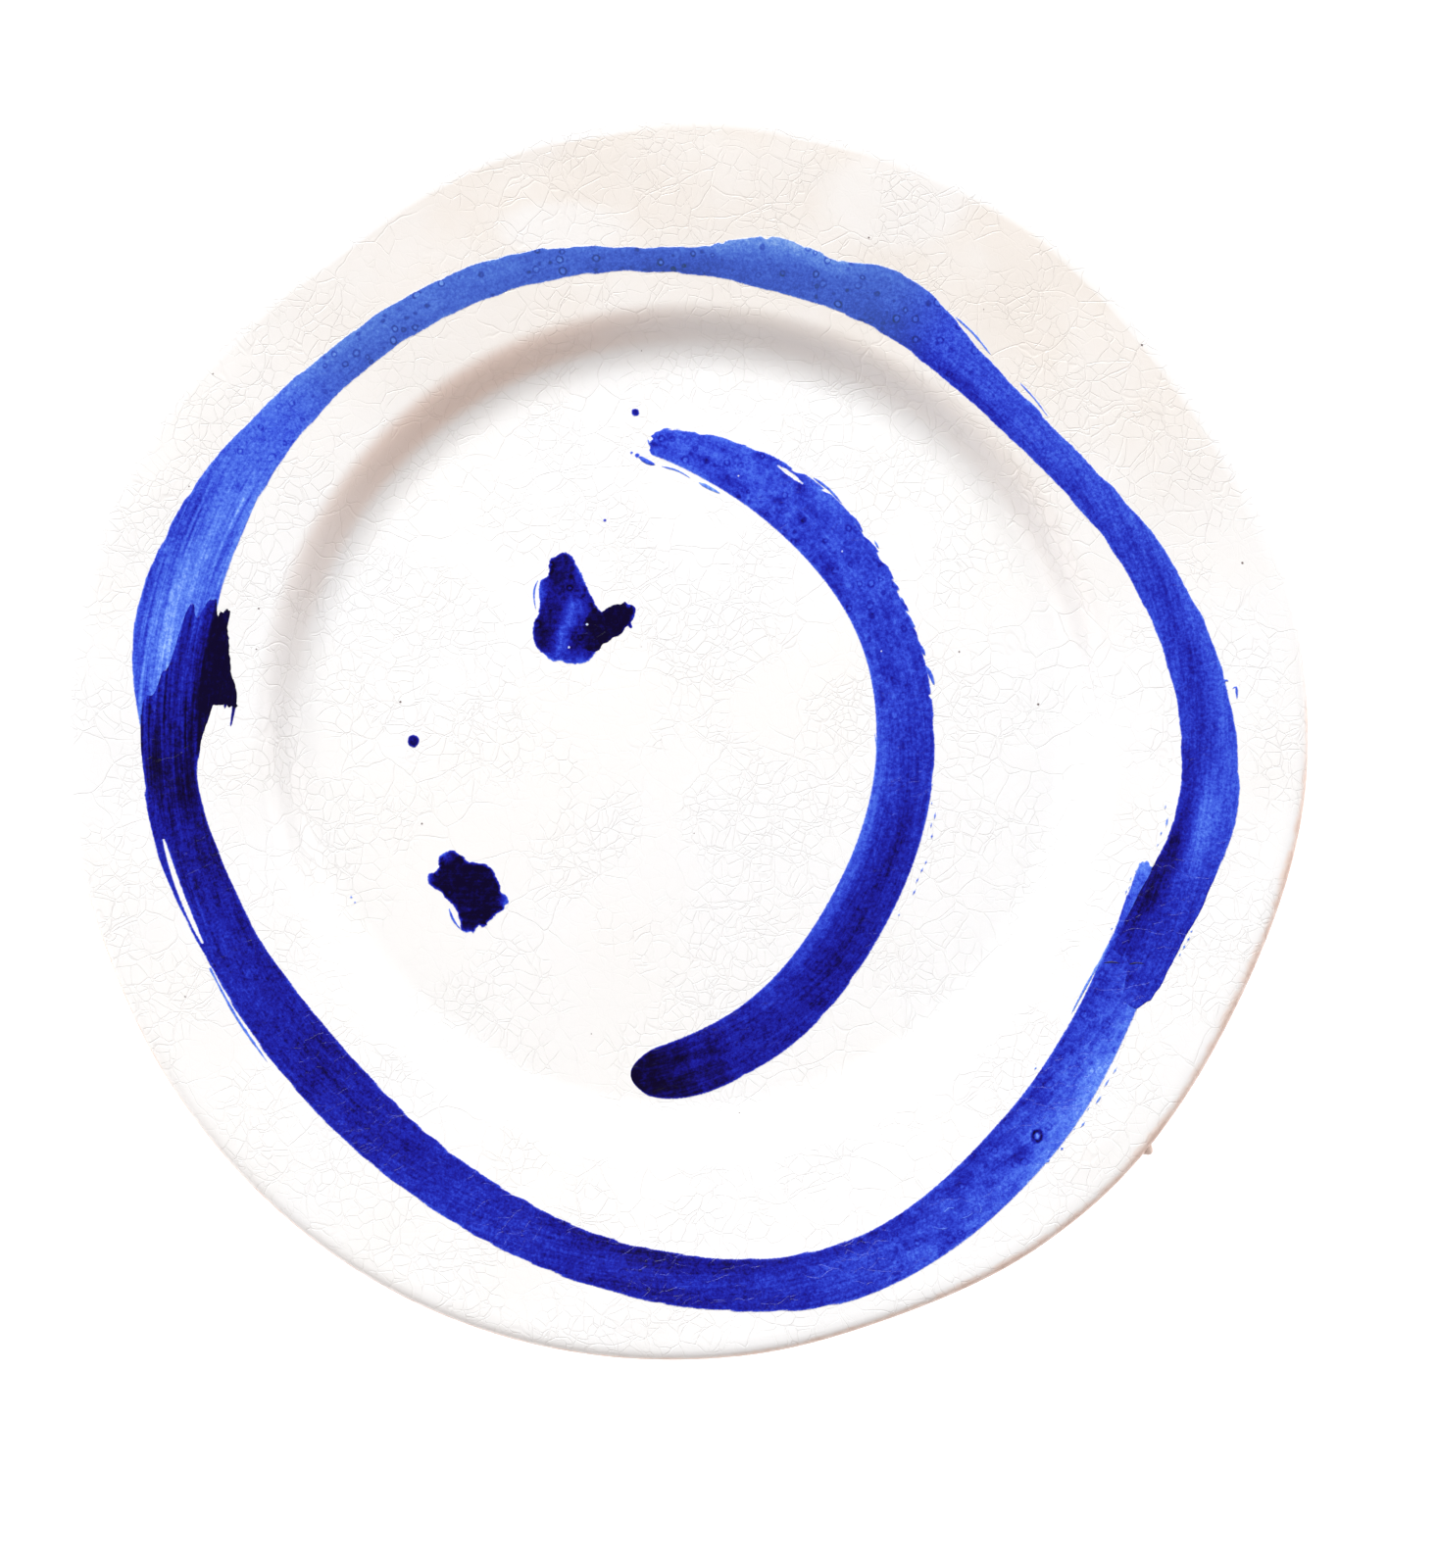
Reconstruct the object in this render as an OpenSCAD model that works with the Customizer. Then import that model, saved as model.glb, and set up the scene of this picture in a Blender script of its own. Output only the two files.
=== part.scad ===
// Hand-built painted dinner plate.
// A slab-built clay body stands on a luted foot ring. A glaze coat covers each face,
// and cobalt brush strokes lie on the front glaze: a ring of two strokes on the rim,
// and one long arc, three dabs and some spatter on the well's floor.
// Origin: centre of the foot, on the surface the plate stands on. +Z up, millimetres.

/* [Plate] */
// Mean diameter over the lip, glaze included
plate_d = 260; // [210:1:320]
// Breadth of the rim, from the verge's outer edge to the lip
rim_w = 39; // [32:0.5:48]
// Breadth of the sloping verge between the well and the rim
verge_w = 13; // [9:0.5:18]
// Rise of the verge above the well's floor
verge_rise = 8.5; // [5:0.5:13]
// Rise of the rim from the verge to the lip
rim_rise = 6; // [2:0.5:12]
// Thickness of the clay in the well and the verge
floor_t = 5; // [3.5:0.1:8]
// Thickness of the clay at the lip
lip_t = 4.6; // [3:0.1:6]

/* [Foot] */
// Height of the foot ring, from its standing face to the clay body
foot_h = 6; // [4.6:0.1:12]
// Breadth of the foot ring's standing face, its rounded edges included
foot_face_w = 7; // [4:0.1:12]
// Breadth that the foot ring gains on each side where it meets the body
foot_flare = 1.5; // [0:0.1:4]
// Distance from the well's edge in to the foot ring's root
foot_inset = 10; // [2:0.5:20]
// Radius of the foot ring's standing edges
foot_round = 1.2; // [0.3:0.1:1.9]

/* [Glaze] */
// Thickness of each glaze coat
glaze_t = 0.4; // [0.2:0.05:0.8]
// Bare clay between a glaze coat and the foot ring's root
glaze_gap = 0.5; // [0.1:0.1:3]
// Radius of the drip that set on the lip
drip_r = 1.3; // [0.8:0.1:2]
// Place of the drip around the lip, in degrees
drip_at = 318; // [306:6:330]

/* [Ring strokes] */
// Thickness of the paint in every stroke
paint_t = 0.2; // [0.1:0.05:0.4]
// Clear glaze between the ring strokes and the lip, at the least
lip_clear = 5; // [3:0.5:8]
// Where the two ring strokes meet on the left, in degrees
left_lap = 174; // [156:6:192]
// Where the two ring strokes meet on the lower right, in degrees
right_lap = 330; // [312:6:342]

/* [Arc stroke] */
// Distance from the well's edge in to the radius of the arc
arc_inset = 11; // [10:0.5:20]
// Centre of the arc, from the plate's centre
arc_centre = [-21, -4.5];
// Angle at which the arc starts, at its dark lower end
arc_start = -82; // [-84:1:-60]
// Angle at which the arc ends, at its dry upper end
arc_end = 78; // [50:1:85]
// Length of the arc's round lower end
arc_start_cap = 6; // [3:0.5:10]
// Length of the arc's drawn-out upper end
arc_end_cap = 9; // [6:0.5:24]

/* [Dabs] */
// Angle, and distance in from the well's edge, of the long dab above
long_dab_at = [133, 42.5];
// Angle, and distance in from the well's edge, of the dab below
lower_dab_at = [215, 20.5];
// Angle, distance in from the well's edge and radius of each spatter dot
dots = [[99, 9.5, 0.9], [111, 30, 0.4], [181, 20.5, 1.35]];

/* [Hidden] */

// Steps around the plate, up the verge, over each half of the lip, and along a curve
turns = 60;
verge_steps = 5;
lip_steps = 3;
arc_steps = 36;
curve_steps = 4;
round_steps = 6;
dot_fn = 24;

// Bulges and dents of the lip: angle, half the breadth in degrees, and how far out or in
lip_bumps = [[33, 22, -1.9], [85, 35, 0.5], [128, 25, -3], [165, 16, 1.2], [200, 14, -0.5],
             [245, 45, 1.6], [290, 15, -0.8], [334, 24, -1.8]];
// Hand-made wander of the lip, up and down, at equal steps from +X
lip_lift = [0.3, 0.6, 0.2, -0.4, -0.5, 0, 0.5, 0.2, -0.4];
// Ring of strokes, at each angle where its course or its breadth turns: its place across the
// free rim, from 0 at the verge to 1 at the lip, and half the brush's width
ring_turns = [[0, 0.55, 6], [42, 0.04, 4], [72, 0.15, 5.5], [100, 0.28, 3.5], [135, 0.42, 4.5],
              [165, 0.58, 8], [185, 0.46, 6.5], [220, 0.3, 6.5], [286, 0.88, 6], [330, 0.42, 6]];
// Half the brush's width along the arc, at equal steps from its start
arc_brush = [5.0, 6.6, 7.2, 7.3, 7.2, 7.1, 6.4, 6.2, 6.6, 4.6];
// Outlines of the dabs, from each dab's own centre
long_dab = [[-1, 12], [3, 7], [5, 1], [6, -4], [4, -9], [0, -11], [-4, -10.5],
            [-7.5, -7], [-7.5, -2], [-6, 1], [-7, 4], [-5, 9]];
short_dab = [[5, -1], [9, 1.5], [13, 2], [13.5, -1], [10, -5], [5, -9], [3, -5]];
lower_dab = [[-1, 8], [2.5, 6.5], [6.5, 5.5], [8, 1], [10, -3], [6, -6.5], [2.5, -8.5],
             [-0.5, -6], [-3, -1], [-6.5, 2.5], [-5, 5.5]];

plate_r = plate_d / 2;
verge_r = plate_r - rim_w;
floor_r = verge_r - verge_w;
floor_z = foot_h + floor_t;
rim_slope = rim_rise / rim_w;
foot_root_r = floor_r - foot_inset;
foot_face_r = foot_root_r - foot_flare;
foot_inner_r = foot_face_r - foot_face_w;
recess_r = foot_inner_r - foot_flare - glaze_gap;
lip_r = lip_t / 2;
lip_centre_r = plate_r - glaze_t - lip_r;
arc_r = floor_r - arc_inset;
arc_length = arc_r * (arc_end - arc_start) * PI / 180;
paint_z = floor_z + glaze_t;

// A curve through hand-placed values: one step of it, from q to r
function blend(p, q, r, s, t) =
    q + (r - p) * t / 2 + (2 * p - 5 * q + 4 * r - s) * t * t / 2
    + (3 * q - p - 3 * r + s) * t * t * t / 2;
// The same curve around a closed list, and along an open one, at place s in its steps
function item(list, i) = list[(i + len(list)) % len(list)];
function round_curve(list, s) =
    let (i = floor(s)) blend(item(list, i - 1), item(list, i), item(list, i + 1),
                             item(list, i + 2), s - i);
function open_item(list, i) = list[max(0, min(len(list) - 1, i))];
function open_curve(list, s) =
    let (i = floor(s)) blend(open_item(list, i - 1), open_item(list, i),
                             open_item(list, i + 1), open_item(list, i + 2), s - i);
// The value of a list that goes around the plate, at angle a
function around(list, a) = round_curve(list, whole_turn(a) * len(list) / 360);
function reversed(list) = [for (i = [len(list) - 1 : -1 : 0]) list[i]];
function polar(a, r) = [r * cos(a), r * sin(a)];
function whole_turn(a) = a - 360 * floor(a / 360);
function ease(t) = (1 - cos(180 * t)) / 2;

// How far the lip lies out or in at angle a, with every bump rounded off
function bump_share(a, at, half) =
    let (off = abs(whole_turn(a - at + 180) - 180)) off < half ? ease(1 - off / half) : 0;
function lip_wander(a) = [for (b = lip_bumps) bump_share(a, b[0], b[1])] * [for (b = lip_bumps) b[2]];

// Angle, place and half width of the ring at angle a, eased from one turn of its course to the next
function ring_between(a, from, to) = from + (to - from) * ease((a - from[0]) / (to[0] - from[0]));
function ring_course(a, i = 0) =
    let (to = i + 1 < len(ring_turns) ? ring_turns[i + 1] : ring_turns[0] + [360, 0, 0])
    a <= to[0] ? ring_between(a, ring_turns[i], to) : ring_course(a, i + 1);

// Height of the clay's upper face, and of its underside, at nominal radius r
function verge_z(t) = verge_rise * t * t * (3 - 2 * t) + rim_slope * verge_w * t * t * (t - 1);
function face_z(r) = floor_z + (r <= floor_r ? 0 : r < verge_r ? verge_z((r - floor_r) / verge_w)
                                : verge_rise + rim_slope * (r - verge_r));
function clay_t(r) = r <= verge_r ? floor_t
    : floor_t + (lip_t - floor_t) * (r - verge_r) / (lip_centre_r - verge_r);
lip_z = face_z(lip_centre_r) - lip_r;

// A point of the wandering plate, from its nominal radius and height
function spot(a, r, z) =
    let (share = max(0, r - verge_r) / rim_w, real_r = r + share * lip_wander(a))
    [real_r * cos(a), real_r * sin(a), z + share * around(lip_lift, a)];

// Sections as [radius, height], a depth d of glaze outside the clay
function verge_stations() = [for (i = [0 : verge_steps]) floor_r + verge_w * i / verge_steps];
function lip_arc(from, to, d) = [for (i = [0 : lip_steps]) let (b = from + (to - from) * i / lip_steps)
    [lip_centre_r + (lip_r + d) * cos(b), lip_z + (lip_r + d) * sin(b)]];
function front_section(d) = concat([for (r = verge_stations()) [r, face_z(r) + d]], lip_arc(90, 0, d));
function back_section(d, inner_r) = concat(lip_arc(0, -90, d),
    [for (r = reversed(verge_stations())) [r, face_z(r) - clay_t(r) - d]],
    [[inner_r, foot_h - d]]);

// Faces between rings j and k of a section. Each quad is cut from the inner ring on to the
// outer one, so that two solids with the same section between them meet face to face.
function strip(section, j, k) = let (outward = section[k][0] >= section[j][0])
    [for (i = [0 : turns - 1])
        let (m = (i + 1) % turns, a = j * turns + i, b = j * turns + m, c = k * turns + m, d = k * turns + i)
        each outward ? [[a, b, c], [a, c, d]] : [[a, b, d], [b, c, d]]];
function rings(section) = [for (p = section) for (i = [0 : turns - 1]) spot(i * 360 / turns, p[0], p[1])];

// A solid of the section, closed on the axis at heights top_z and bottom_z
module dish(section, top_z, bottom_z) {
    last = len(section) - 1;
    top = len(section) * turns;
    polyhedron(
        points = concat(rings(section), [[0, 0, top_z], [0, 0, bottom_z]]),
        faces = concat(
            [for (j = [0 : last - 1]) each strip(section, j, j + 1)],
            [for (i = [0 : turns - 1]) [top, (i + 1) % turns, i]],
            [for (i = [0 : turns - 1]) [top + 1, last * turns + i, last * turns + (i + 1) % turns]]),
        convexity = 4);
}

// A solid of the section, which closes on itself around an open middle
module hoop(section) {
    n = len(section);
    polyhedron(points = rings(section), faces = [for (j = [0 : n - 1]) each strip(section, j, (j + 1) % n)],
               convexity = 4);
}

module clay_body() {
    color([0.86, 0.74, 0.66])
        dish(concat(front_section(0), [for (p = back_section(0, foot_root_r)) if (p[1] < lip_z) p]),
             floor_z, foot_h);
}

// Foot ring: a trapezoid with a rounded standing face, turned about the axis
module foot_ring() {
    corner = [for (i = [0 : round_steps]) polar(-90 * i / round_steps, foot_round)];
    color([0.82, 0.68, 0.58])
        rotate_extrude($fn = 180)
            polygon(concat(
                [[foot_inner_r - foot_flare, foot_h], [foot_root_r, foot_h]],
                [for (p = corner) [foot_face_r - foot_round, foot_round] + p],
                [for (p = reversed(corner)) [foot_inner_r + foot_round - p[0], foot_round + p[1]]]));
}

module glaze_front() {
    color([0.97, 0.96, 0.94])
        dish(concat(front_section(glaze_t), reversed(front_section(0))), paint_z, floor_z);
}

// The hole in the back coat clears the round foot with the flats of its own edge
module glaze_back() {
    hole_r = foot_root_r / cos(180 / turns) + glaze_gap;
    color([0.95, 0.93, 0.90])
        hoop(concat(back_section(glaze_t, hole_r), reversed(back_section(0, hole_r))));
}

module glaze_recess() {
    color([0.94, 0.92, 0.89])
        translate([0, 0, foot_h - glaze_t])
            cylinder(h = glaze_t, r = recess_r, $fn = 120);
}

// One brush stroke around the rim, from one angle on to a larger one
module ring_stroke(from, to) {
    rows = [for (a = [from : 360 / turns : to])
        let (brush = ring_course(whole_turn(a)),
             middle = verge_r + brush[2] + brush[1] * (rim_w - 2 * brush[2] - lip_clear),
             low = middle - brush[2],
             high = middle + brush[2],
             low_z = face_z(low) + glaze_t,
             high_z = face_z(high) + glaze_t)
        each [spot(a, low, low_z), spot(a, low, low_z + paint_t),
              spot(a, high, high_z + paint_t), spot(a, high, high_z)]];
    last = len(rows) - 4;
    polyhedron(
        points = rows,
        faces = concat(
            [for (k = [0 : 4 : last - 4]) for (s = [0 : 3]) let (t = (s + 1) % 4)
                each [[k + s, k + 4 + s, k + 4 + t], [k + s, k + 4 + t, k + t]]],
            [[0, 1, 2], [0, 2, 3]],
            [[last, last + 2, last + 1], [last, last + 3, last + 2]]),
        convexity = 6);
}

module ring_stroke_upper() {
    color([0.20, 0.33, 0.80]) ring_stroke(right_lap, left_lap + 360);
}

module ring_stroke_lower() {
    color([0.12, 0.14, 0.62]) ring_stroke(left_lap, right_lap);
}

// Half the arc's width at share u of its length: round at the start, drawn out at the end
function cap(length, reach) = length >= reach ? 1 : sqrt(max(0, 1 - pow(1 - length / reach, 2)));
function arc_half_w(u) = open_curve(arc_brush, u * (len(arc_brush) - 1))
    * cap(u * arc_length, arc_start_cap) * cap((1 - u) * arc_length, arc_end_cap);

// Steps are closer towards both ends, where the outline turns
module arc_stroke() {
    shares = [for (i = [0 : arc_steps]) (1 - cos(180 * i / arc_steps)) / 2];
    function edge(side, list) = [for (u = list)
        arc_centre + polar(arc_start + (arc_end - arc_start) * u, arc_r + side * arc_half_w(u))];
    inside = [for (i = [1 : arc_steps - 1]) shares[arc_steps - i]];
    color([0.15, 0.20, 0.75])
        translate([0, 0, paint_z])
            linear_extrude(paint_t)
                polygon(concat(edge(1, shares), edge(-1, inside)));
}

// A flat patch of paint with a curved outline through the given points
module patch(outline, height) {
    linear_extrude(height)
        polygon([for (s = [0 : 1 / curve_steps : len(outline) - 1 / curve_steps]) round_curve(outline, s)]);
}

// Carries its children to a place given by angle and distance in from the well's edge
module on_floor(place) {
    at = polar(place[0], floor_r - place[1]);
    translate([at[0], at[1], paint_z]) children();
}

module dab_upper_long() {
    color([0.10, 0.08, 0.60]) on_floor(long_dab_at) patch(long_dab, paint_t);
}

// The short dab butts against the side of the long one
module dab_upper_short() {
    color([0.06, 0.02, 0.30])
        on_floor(long_dab_at)
            difference() {
                patch(short_dab, paint_t);
                translate([0, 0, -paint_t]) patch(long_dab, 3 * paint_t);
            }
}

module dab_lower() {
    color([0.05, 0.01, 0.30]) on_floor(lower_dab_at) patch(lower_dab, paint_t);
}

module spatter_dots() {
    color([0.08, 0.06, 0.50])
        for (dot = dots)
            on_floor([dot[0], dot[1]]) cylinder(h = paint_t, r = dot[2], $fn = dot_fn);
}

// A bead with a flat back, which touches the lip at its outermost line
module glaze_drip() {
    at = spot(drip_at, plate_r, lip_z);
    color([0.96, 0.90, 0.86])
        translate(at)
            rotate([0, 90, drip_at])
                rotate_extrude($fn = dot_fn)
                    polygon(concat([[0, 0]], [for (i = [0 : round_steps]) polar(90 * i / round_steps, drip_r)]));
}

clay_body();
foot_ring();
glaze_front();
glaze_back();
glaze_recess();
ring_stroke_upper();
ring_stroke_lower();
arc_stroke();
dab_upper_long();
dab_upper_short();
dab_lower();
spatter_dots();
glaze_drip();
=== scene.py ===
"""Looks of the hand painted plate: glaze, brush strokes, clay and light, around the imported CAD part.

Shapes are worked out in millimetres in the part's own frame and written to Blender in metres.
"""
import math

import bpy
import numpy as np
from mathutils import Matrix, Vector


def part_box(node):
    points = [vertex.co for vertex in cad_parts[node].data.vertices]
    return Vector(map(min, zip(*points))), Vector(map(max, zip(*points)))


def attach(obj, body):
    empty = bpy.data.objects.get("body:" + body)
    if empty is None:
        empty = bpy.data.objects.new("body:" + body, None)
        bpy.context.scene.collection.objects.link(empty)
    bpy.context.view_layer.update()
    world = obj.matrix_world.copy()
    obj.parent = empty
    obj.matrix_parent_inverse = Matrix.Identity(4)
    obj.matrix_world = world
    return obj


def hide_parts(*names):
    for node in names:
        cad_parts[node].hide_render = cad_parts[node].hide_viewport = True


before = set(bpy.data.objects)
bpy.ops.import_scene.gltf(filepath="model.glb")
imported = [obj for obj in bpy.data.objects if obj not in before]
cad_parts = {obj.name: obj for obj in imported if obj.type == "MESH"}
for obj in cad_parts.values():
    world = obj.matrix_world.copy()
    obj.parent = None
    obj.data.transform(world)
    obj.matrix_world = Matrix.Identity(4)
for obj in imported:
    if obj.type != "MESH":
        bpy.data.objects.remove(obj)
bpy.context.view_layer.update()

MM = 0.001


def box_mm(node):
    """Lowest and highest corner of a CAD node in millimetres."""
    low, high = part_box(node)
    return [v / MM for v in low], [v / MM for v in high]


# --- Sizes: read from the frame where it holds them, else as the part's design states them ---
SKIN_Z = box_mm("arc_stroke")[0][2]        # top of the front glaze in the well
FOOT_H = box_mm("foot_ring")[1][2]
FOOT_ROOT_R = box_mm("foot_ring")[1][0]
GLAZE_T = box_mm("glaze_recess")[1][2] - box_mm("glaze_recess")[0][2]
RECESS_R = box_mm("glaze_recess")[1][0]
PLATE_R = 130.0
RIM_W = 39.0
VERGE_W = 13.0
VERGE_RISE = 8.5
RIM_RISE = 6.0
FLOOR_T = 5.0
LIP_T = 4.6
FOOT_FLARE = 1.5
FOOT_FACE_W = 7.0
FOOT_ROUND = 1.2
VERGE_R = PLATE_R - RIM_W
FLOOR_R = VERGE_R - VERGE_W
POOL_R = FLOOR_R - 2          # where the glaze that gathers under the verge begins
STEEP_R = VERGE_R - 6.2       # the verge's steepest line
POOL_GROWTH = 1.35            # how the slope grows from the one to the other: 1 is evenly
RIM_SLOPE = RIM_RISE / RIM_W
LIP_R = LIP_T / 2
LIP_CENTRE_R = PLATE_R - GLAZE_T - LIP_R
EDGE_TRIM = 0.12       # keeps the smooth lip inside the faceted CAD lip
LIP_DROP = 0.01        # keeps the smooth lip under the faceted CAD lip

# Bulges and dents of the lip, as the part has them: direction, half the breadth in degrees,
# and how far out or in. Then its wander up and down, at equal steps from +X.
LIP_BUMPS = [(33, 22, -1.9), (85, 35, 0.5), (128, 25, -3), (165, 16, 1.2), (200, 14, -0.5),
             (245, 45, 1.6), (290, 15, -0.8), (334, 24, -1.8)]
LIP_LIFT = [0.3, 0.6, 0.2, -0.4, -0.5, 0, 0.5, 0.2, -0.4]

# Slow hand-made swell of the glazed face: direction in degrees, wavelength, phase
SWELLS = [(20, 62, 0.4), (75, 47, 2.1), (118, 71, 4.0), (163, 39, 5.2), (48, 31, 1.3), (140, 27, 3.1)]
SWELL_H = 0.05

# Film of paint: its thickness at the edge and inside, how far it sinks into the glaze
FILM_EDGE = 0.012
FILM_T = 0.06
HAIR_T = FILM_T * 0.6   # a thin line's height along its middle
FILM_ROUND = 0.8
FILM_SINK = 0.05
LAP_LIFT = 0.04
OVER_FILM = 0.055       # lifts a line or glint over one film, or over two where they lap
OVER_LAP = 0.09
LOAD_TOP = 1.02        # the most that a film's load may be
GRID = 0.25            # spacing of a ring stroke's grid, in degrees along and millimetres across
DAB_GRID = 0.15


# --- Numbers ---
def lerp(a, b, t):
    return a + (b - a) * t


def smooth(t):
    t = np.clip(t, 0.0, 1.0)
    return t * t * (3 - 2 * t)


def hash01(ix, iy, seed):
    """A fixed random number from 0 to 1 for each whole-number place."""
    h = (ix.astype(np.int64) * 374761393 + iy.astype(np.int64) * 668265263 + seed * 1442695041) & 0xFFFFFFFF
    h = ((h ^ (h >> 13)) * 1274126177) & 0xFFFFFFFF
    return ((h ^ (h >> 16)) & 0xFFFFFF) / 0xFFFFFF


def noise(x, y, seed):
    """Smooth noise from -1 to 1 with a cell of 1."""
    x, y = np.broadcast_arrays(np.asarray(x, float), np.asarray(y, float))
    ix, iy = np.floor(x).astype(np.int64), np.floor(y).astype(np.int64)
    fx, fy = smooth(x - ix), smooth(y - iy)
    low = lerp(hash01(ix, iy, seed), hash01(ix + 1, iy, seed), fx)
    high = lerp(hash01(ix, iy + 1, seed), hash01(ix + 1, iy + 1, seed), fx)
    return 2 * lerp(low, high, fy) - 1


def curve_step(p, q, r, e, t):
    """The step from q to r of a smooth curve through p, q, r and e."""
    return (q + (r - p) * t / 2 + (2 * p - 5 * q + 4 * r - e) * t ** 2 / 2
            + (3 * q - p - 3 * r + e) * t ** 3 / 2)


def around(values, degrees):
    """The value of a list that goes around the plate, on a smooth curve through its items."""
    values = np.asarray(values, float)
    n = len(values)
    s = (np.asarray(degrees, float) % 360) * n / 360
    i = np.floor(s).astype(int)
    t = s - i
    p, q, r, e = (values[(i + k) % n] for k in (-1, 0, 1, 2))
    return curve_step(p, q, r, e, t)


def unit(degrees):
    """Cosines and sines of directions in degrees."""
    return np.cos(np.radians(degrees)), np.sin(np.radians(degrees))


def turn_noise(angles, fine, seed):
    """Noise that closes on itself around the plate, finer with a larger number."""
    c, h = unit(angles)
    return noise(c * fine, h * fine, seed)


def lip_wander(degrees):
    """How far the lip lies out or in at each direction, with every bump rounded off."""
    total = 0
    for at, half, out in LIP_BUMPS:
        off = np.abs((np.asarray(degrees, float) - at + 180) % 360 - 180)
        total = total + out * (1 + np.cos(np.pi * np.minimum(off / half, 1))) / 2
    return total


# --- The plate's surfaces ---
def clay_face_z(r):
    """Height of the clay's face above the well's floor at nominal radius r."""
    t = np.clip((r - FLOOR_R) / VERGE_W, 0, 1)
    verge = VERGE_RISE * t * t * (3 - 2 * t) + RIM_SLOPE * VERGE_W * t * t * (t - 1)
    return verge + RIM_SLOPE * np.maximum(r - VERGE_R, 0)


def face_z(r):
    """Height of the glazed face, whose slope grows slowly to the steep line and then eases."""
    below, above = STEEP_R - POOL_R, VERGE_R - STEEP_R
    steep = (VERGE_RISE - RIM_SLOPE * above / 2) / (below / (1 + POOL_GROWTH) + above / 2)
    share = np.clip((r - POOL_R) / below, 0, 1)
    foot_side = steep * below * share ** (1 + POOL_GROWTH) / (1 + POOL_GROWTH)
    up = np.clip(r - STEEP_R, 0, above)
    rim_side = steep * up - (steep - RIM_SLOPE) * up ** 2 / (2 * above)
    return foot_side + rim_side + RIM_SLOPE * np.maximum(r - VERGE_R, 0)


def clay_t(r):
    share = np.clip((r - VERGE_R) / (LIP_CENTRE_R - VERGE_R), 0, 1)
    return lerp(FLOOR_T, LIP_T, share)


def rim_share(r):
    return np.maximum(r - VERGE_R, 0) / RIM_W


def swell(x, y, r):
    """Hand-made unevenness: faint in the well, more on the rim, none at the lip."""
    total = 0
    for direction, length, phase in SWELLS:
        a = math.radians(direction)
        total = total + np.cos((x * math.cos(a) + y * math.sin(a)) * 2 * math.pi / length + phase)
    reach = 0.3 + 0.7 * smooth((r - FLOOR_R) / VERGE_W)
    return SWELL_H * total * reach * smooth((LIP_CENTRE_R - r) / 6)


def skin_z(x, y):
    """Height of the front glaze at a place on the plate."""
    a = np.degrees(np.arctan2(y, x))
    real = np.hypot(x, y)
    stretch = 1 + (lip_wander(a) - EDGE_TRIM) / RIM_W
    r = np.where(real > VERGE_R, VERGE_R + (real - VERGE_R) / stretch, real)
    return SKIN_Z + face_z(r) + rim_share(r) * (around(LIP_LIFT, a) - LIP_DROP) + swell(x, y, r)


def ring_at(angles, r, z, front=True):
    """A ring of points at nominal radius r and height z, with the lip's wander."""
    share = rim_share(r)
    real = r + share * (lip_wander(angles) - EDGE_TRIM)
    c, h = unit(angles)
    x, y = real * c, real * h
    up = z + share * (around(LIP_LIFT, angles) - LIP_DROP) + (swell(x, y, r) if front else 0)
    return np.stack([x, y, np.broadcast_to(up, x.shape)], axis=1)


# --- Meshes ---
class Shell:
    """Gathers the vertices, faces and surface values of one piece, in millimetres."""

    def __init__(self):
        self.verts = []
        self.faces = []
        self.soft = []
        self.values = {}
        self.count = 0

    def add(self, verts, faces, soft, **values):
        start = self.count
        self.verts.append(np.asarray(verts, float))
        self.faces += [[start + i for i in face] for face in faces]
        self.soft += soft
        n = len(verts)
        for name, v in values.items():
            self.values.setdefault(name, []).append(np.broadcast_to(np.asarray(v, float), (n,)))
        self.count += n

    def build(self, name, material, slot, *nodes):
        mesh = bpy.data.meshes.new(name)
        mesh.from_pydata((np.concatenate(self.verts) * MM).tolist(), [], self.faces)
        mesh.polygons.foreach_set("use_smooth", self.soft)
        for key, parts in self.values.items():
            layer = mesh.attributes.new(key, "FLOAT", "POINT")
            layer.data.foreach_set("value", np.concatenate(parts).astype(np.float32))
        mesh.materials.append(material)
        piece = bpy.data.objects.new(name, mesh)
        bpy.context.scene.collection.objects.link(piece)
        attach(piece, "root")
        if nodes:
            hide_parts(*nodes)
        return piece


def lathe_faces(rows, n, wrap=False):
    """Quads between neighbouring rings of n points, outside facing out when rows run over the top."""
    i = np.arange(n)
    m = (i + 1) % n
    faces = []
    for j in range(rows if wrap else rows - 1):
        a, b = j * n, ((j + 1) % rows) * n
        faces += np.stack([a + i, b + i, b + m, a + m], axis=1).tolist()
    return faces


def turned(shell, rings, top=None, bottom=None, **values):
    """A closed solid of rings, ended by a point at each end, or joined into a hoop."""
    rings = np.asarray(rings)
    rows, n = rings.shape[:2]
    verts = rings.reshape(-1, 3)
    hoop = top is None
    faces = lathe_faces(rows, n, wrap=hoop)
    values = {k: np.repeat(np.asarray(v, float), n) if np.ndim(v) == 1 else np.ravel(v)
              for k, v in values.items()}
    if not hoop:
        first, last = rows * n, (rows - 1) * n
        verts = np.concatenate([verts, [top, bottom]])
        faces += [[first, i, (i + 1) % n] for i in range(n)]
        faces += [[first + 1, last + (i + 1) % n, last + i] for i in range(n)]
        values = {k: np.append(v, [v[0], v[-1]]) for k, v in values.items()}
    shell.add(verts, faces, [True] * len(faces), **values)


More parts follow.
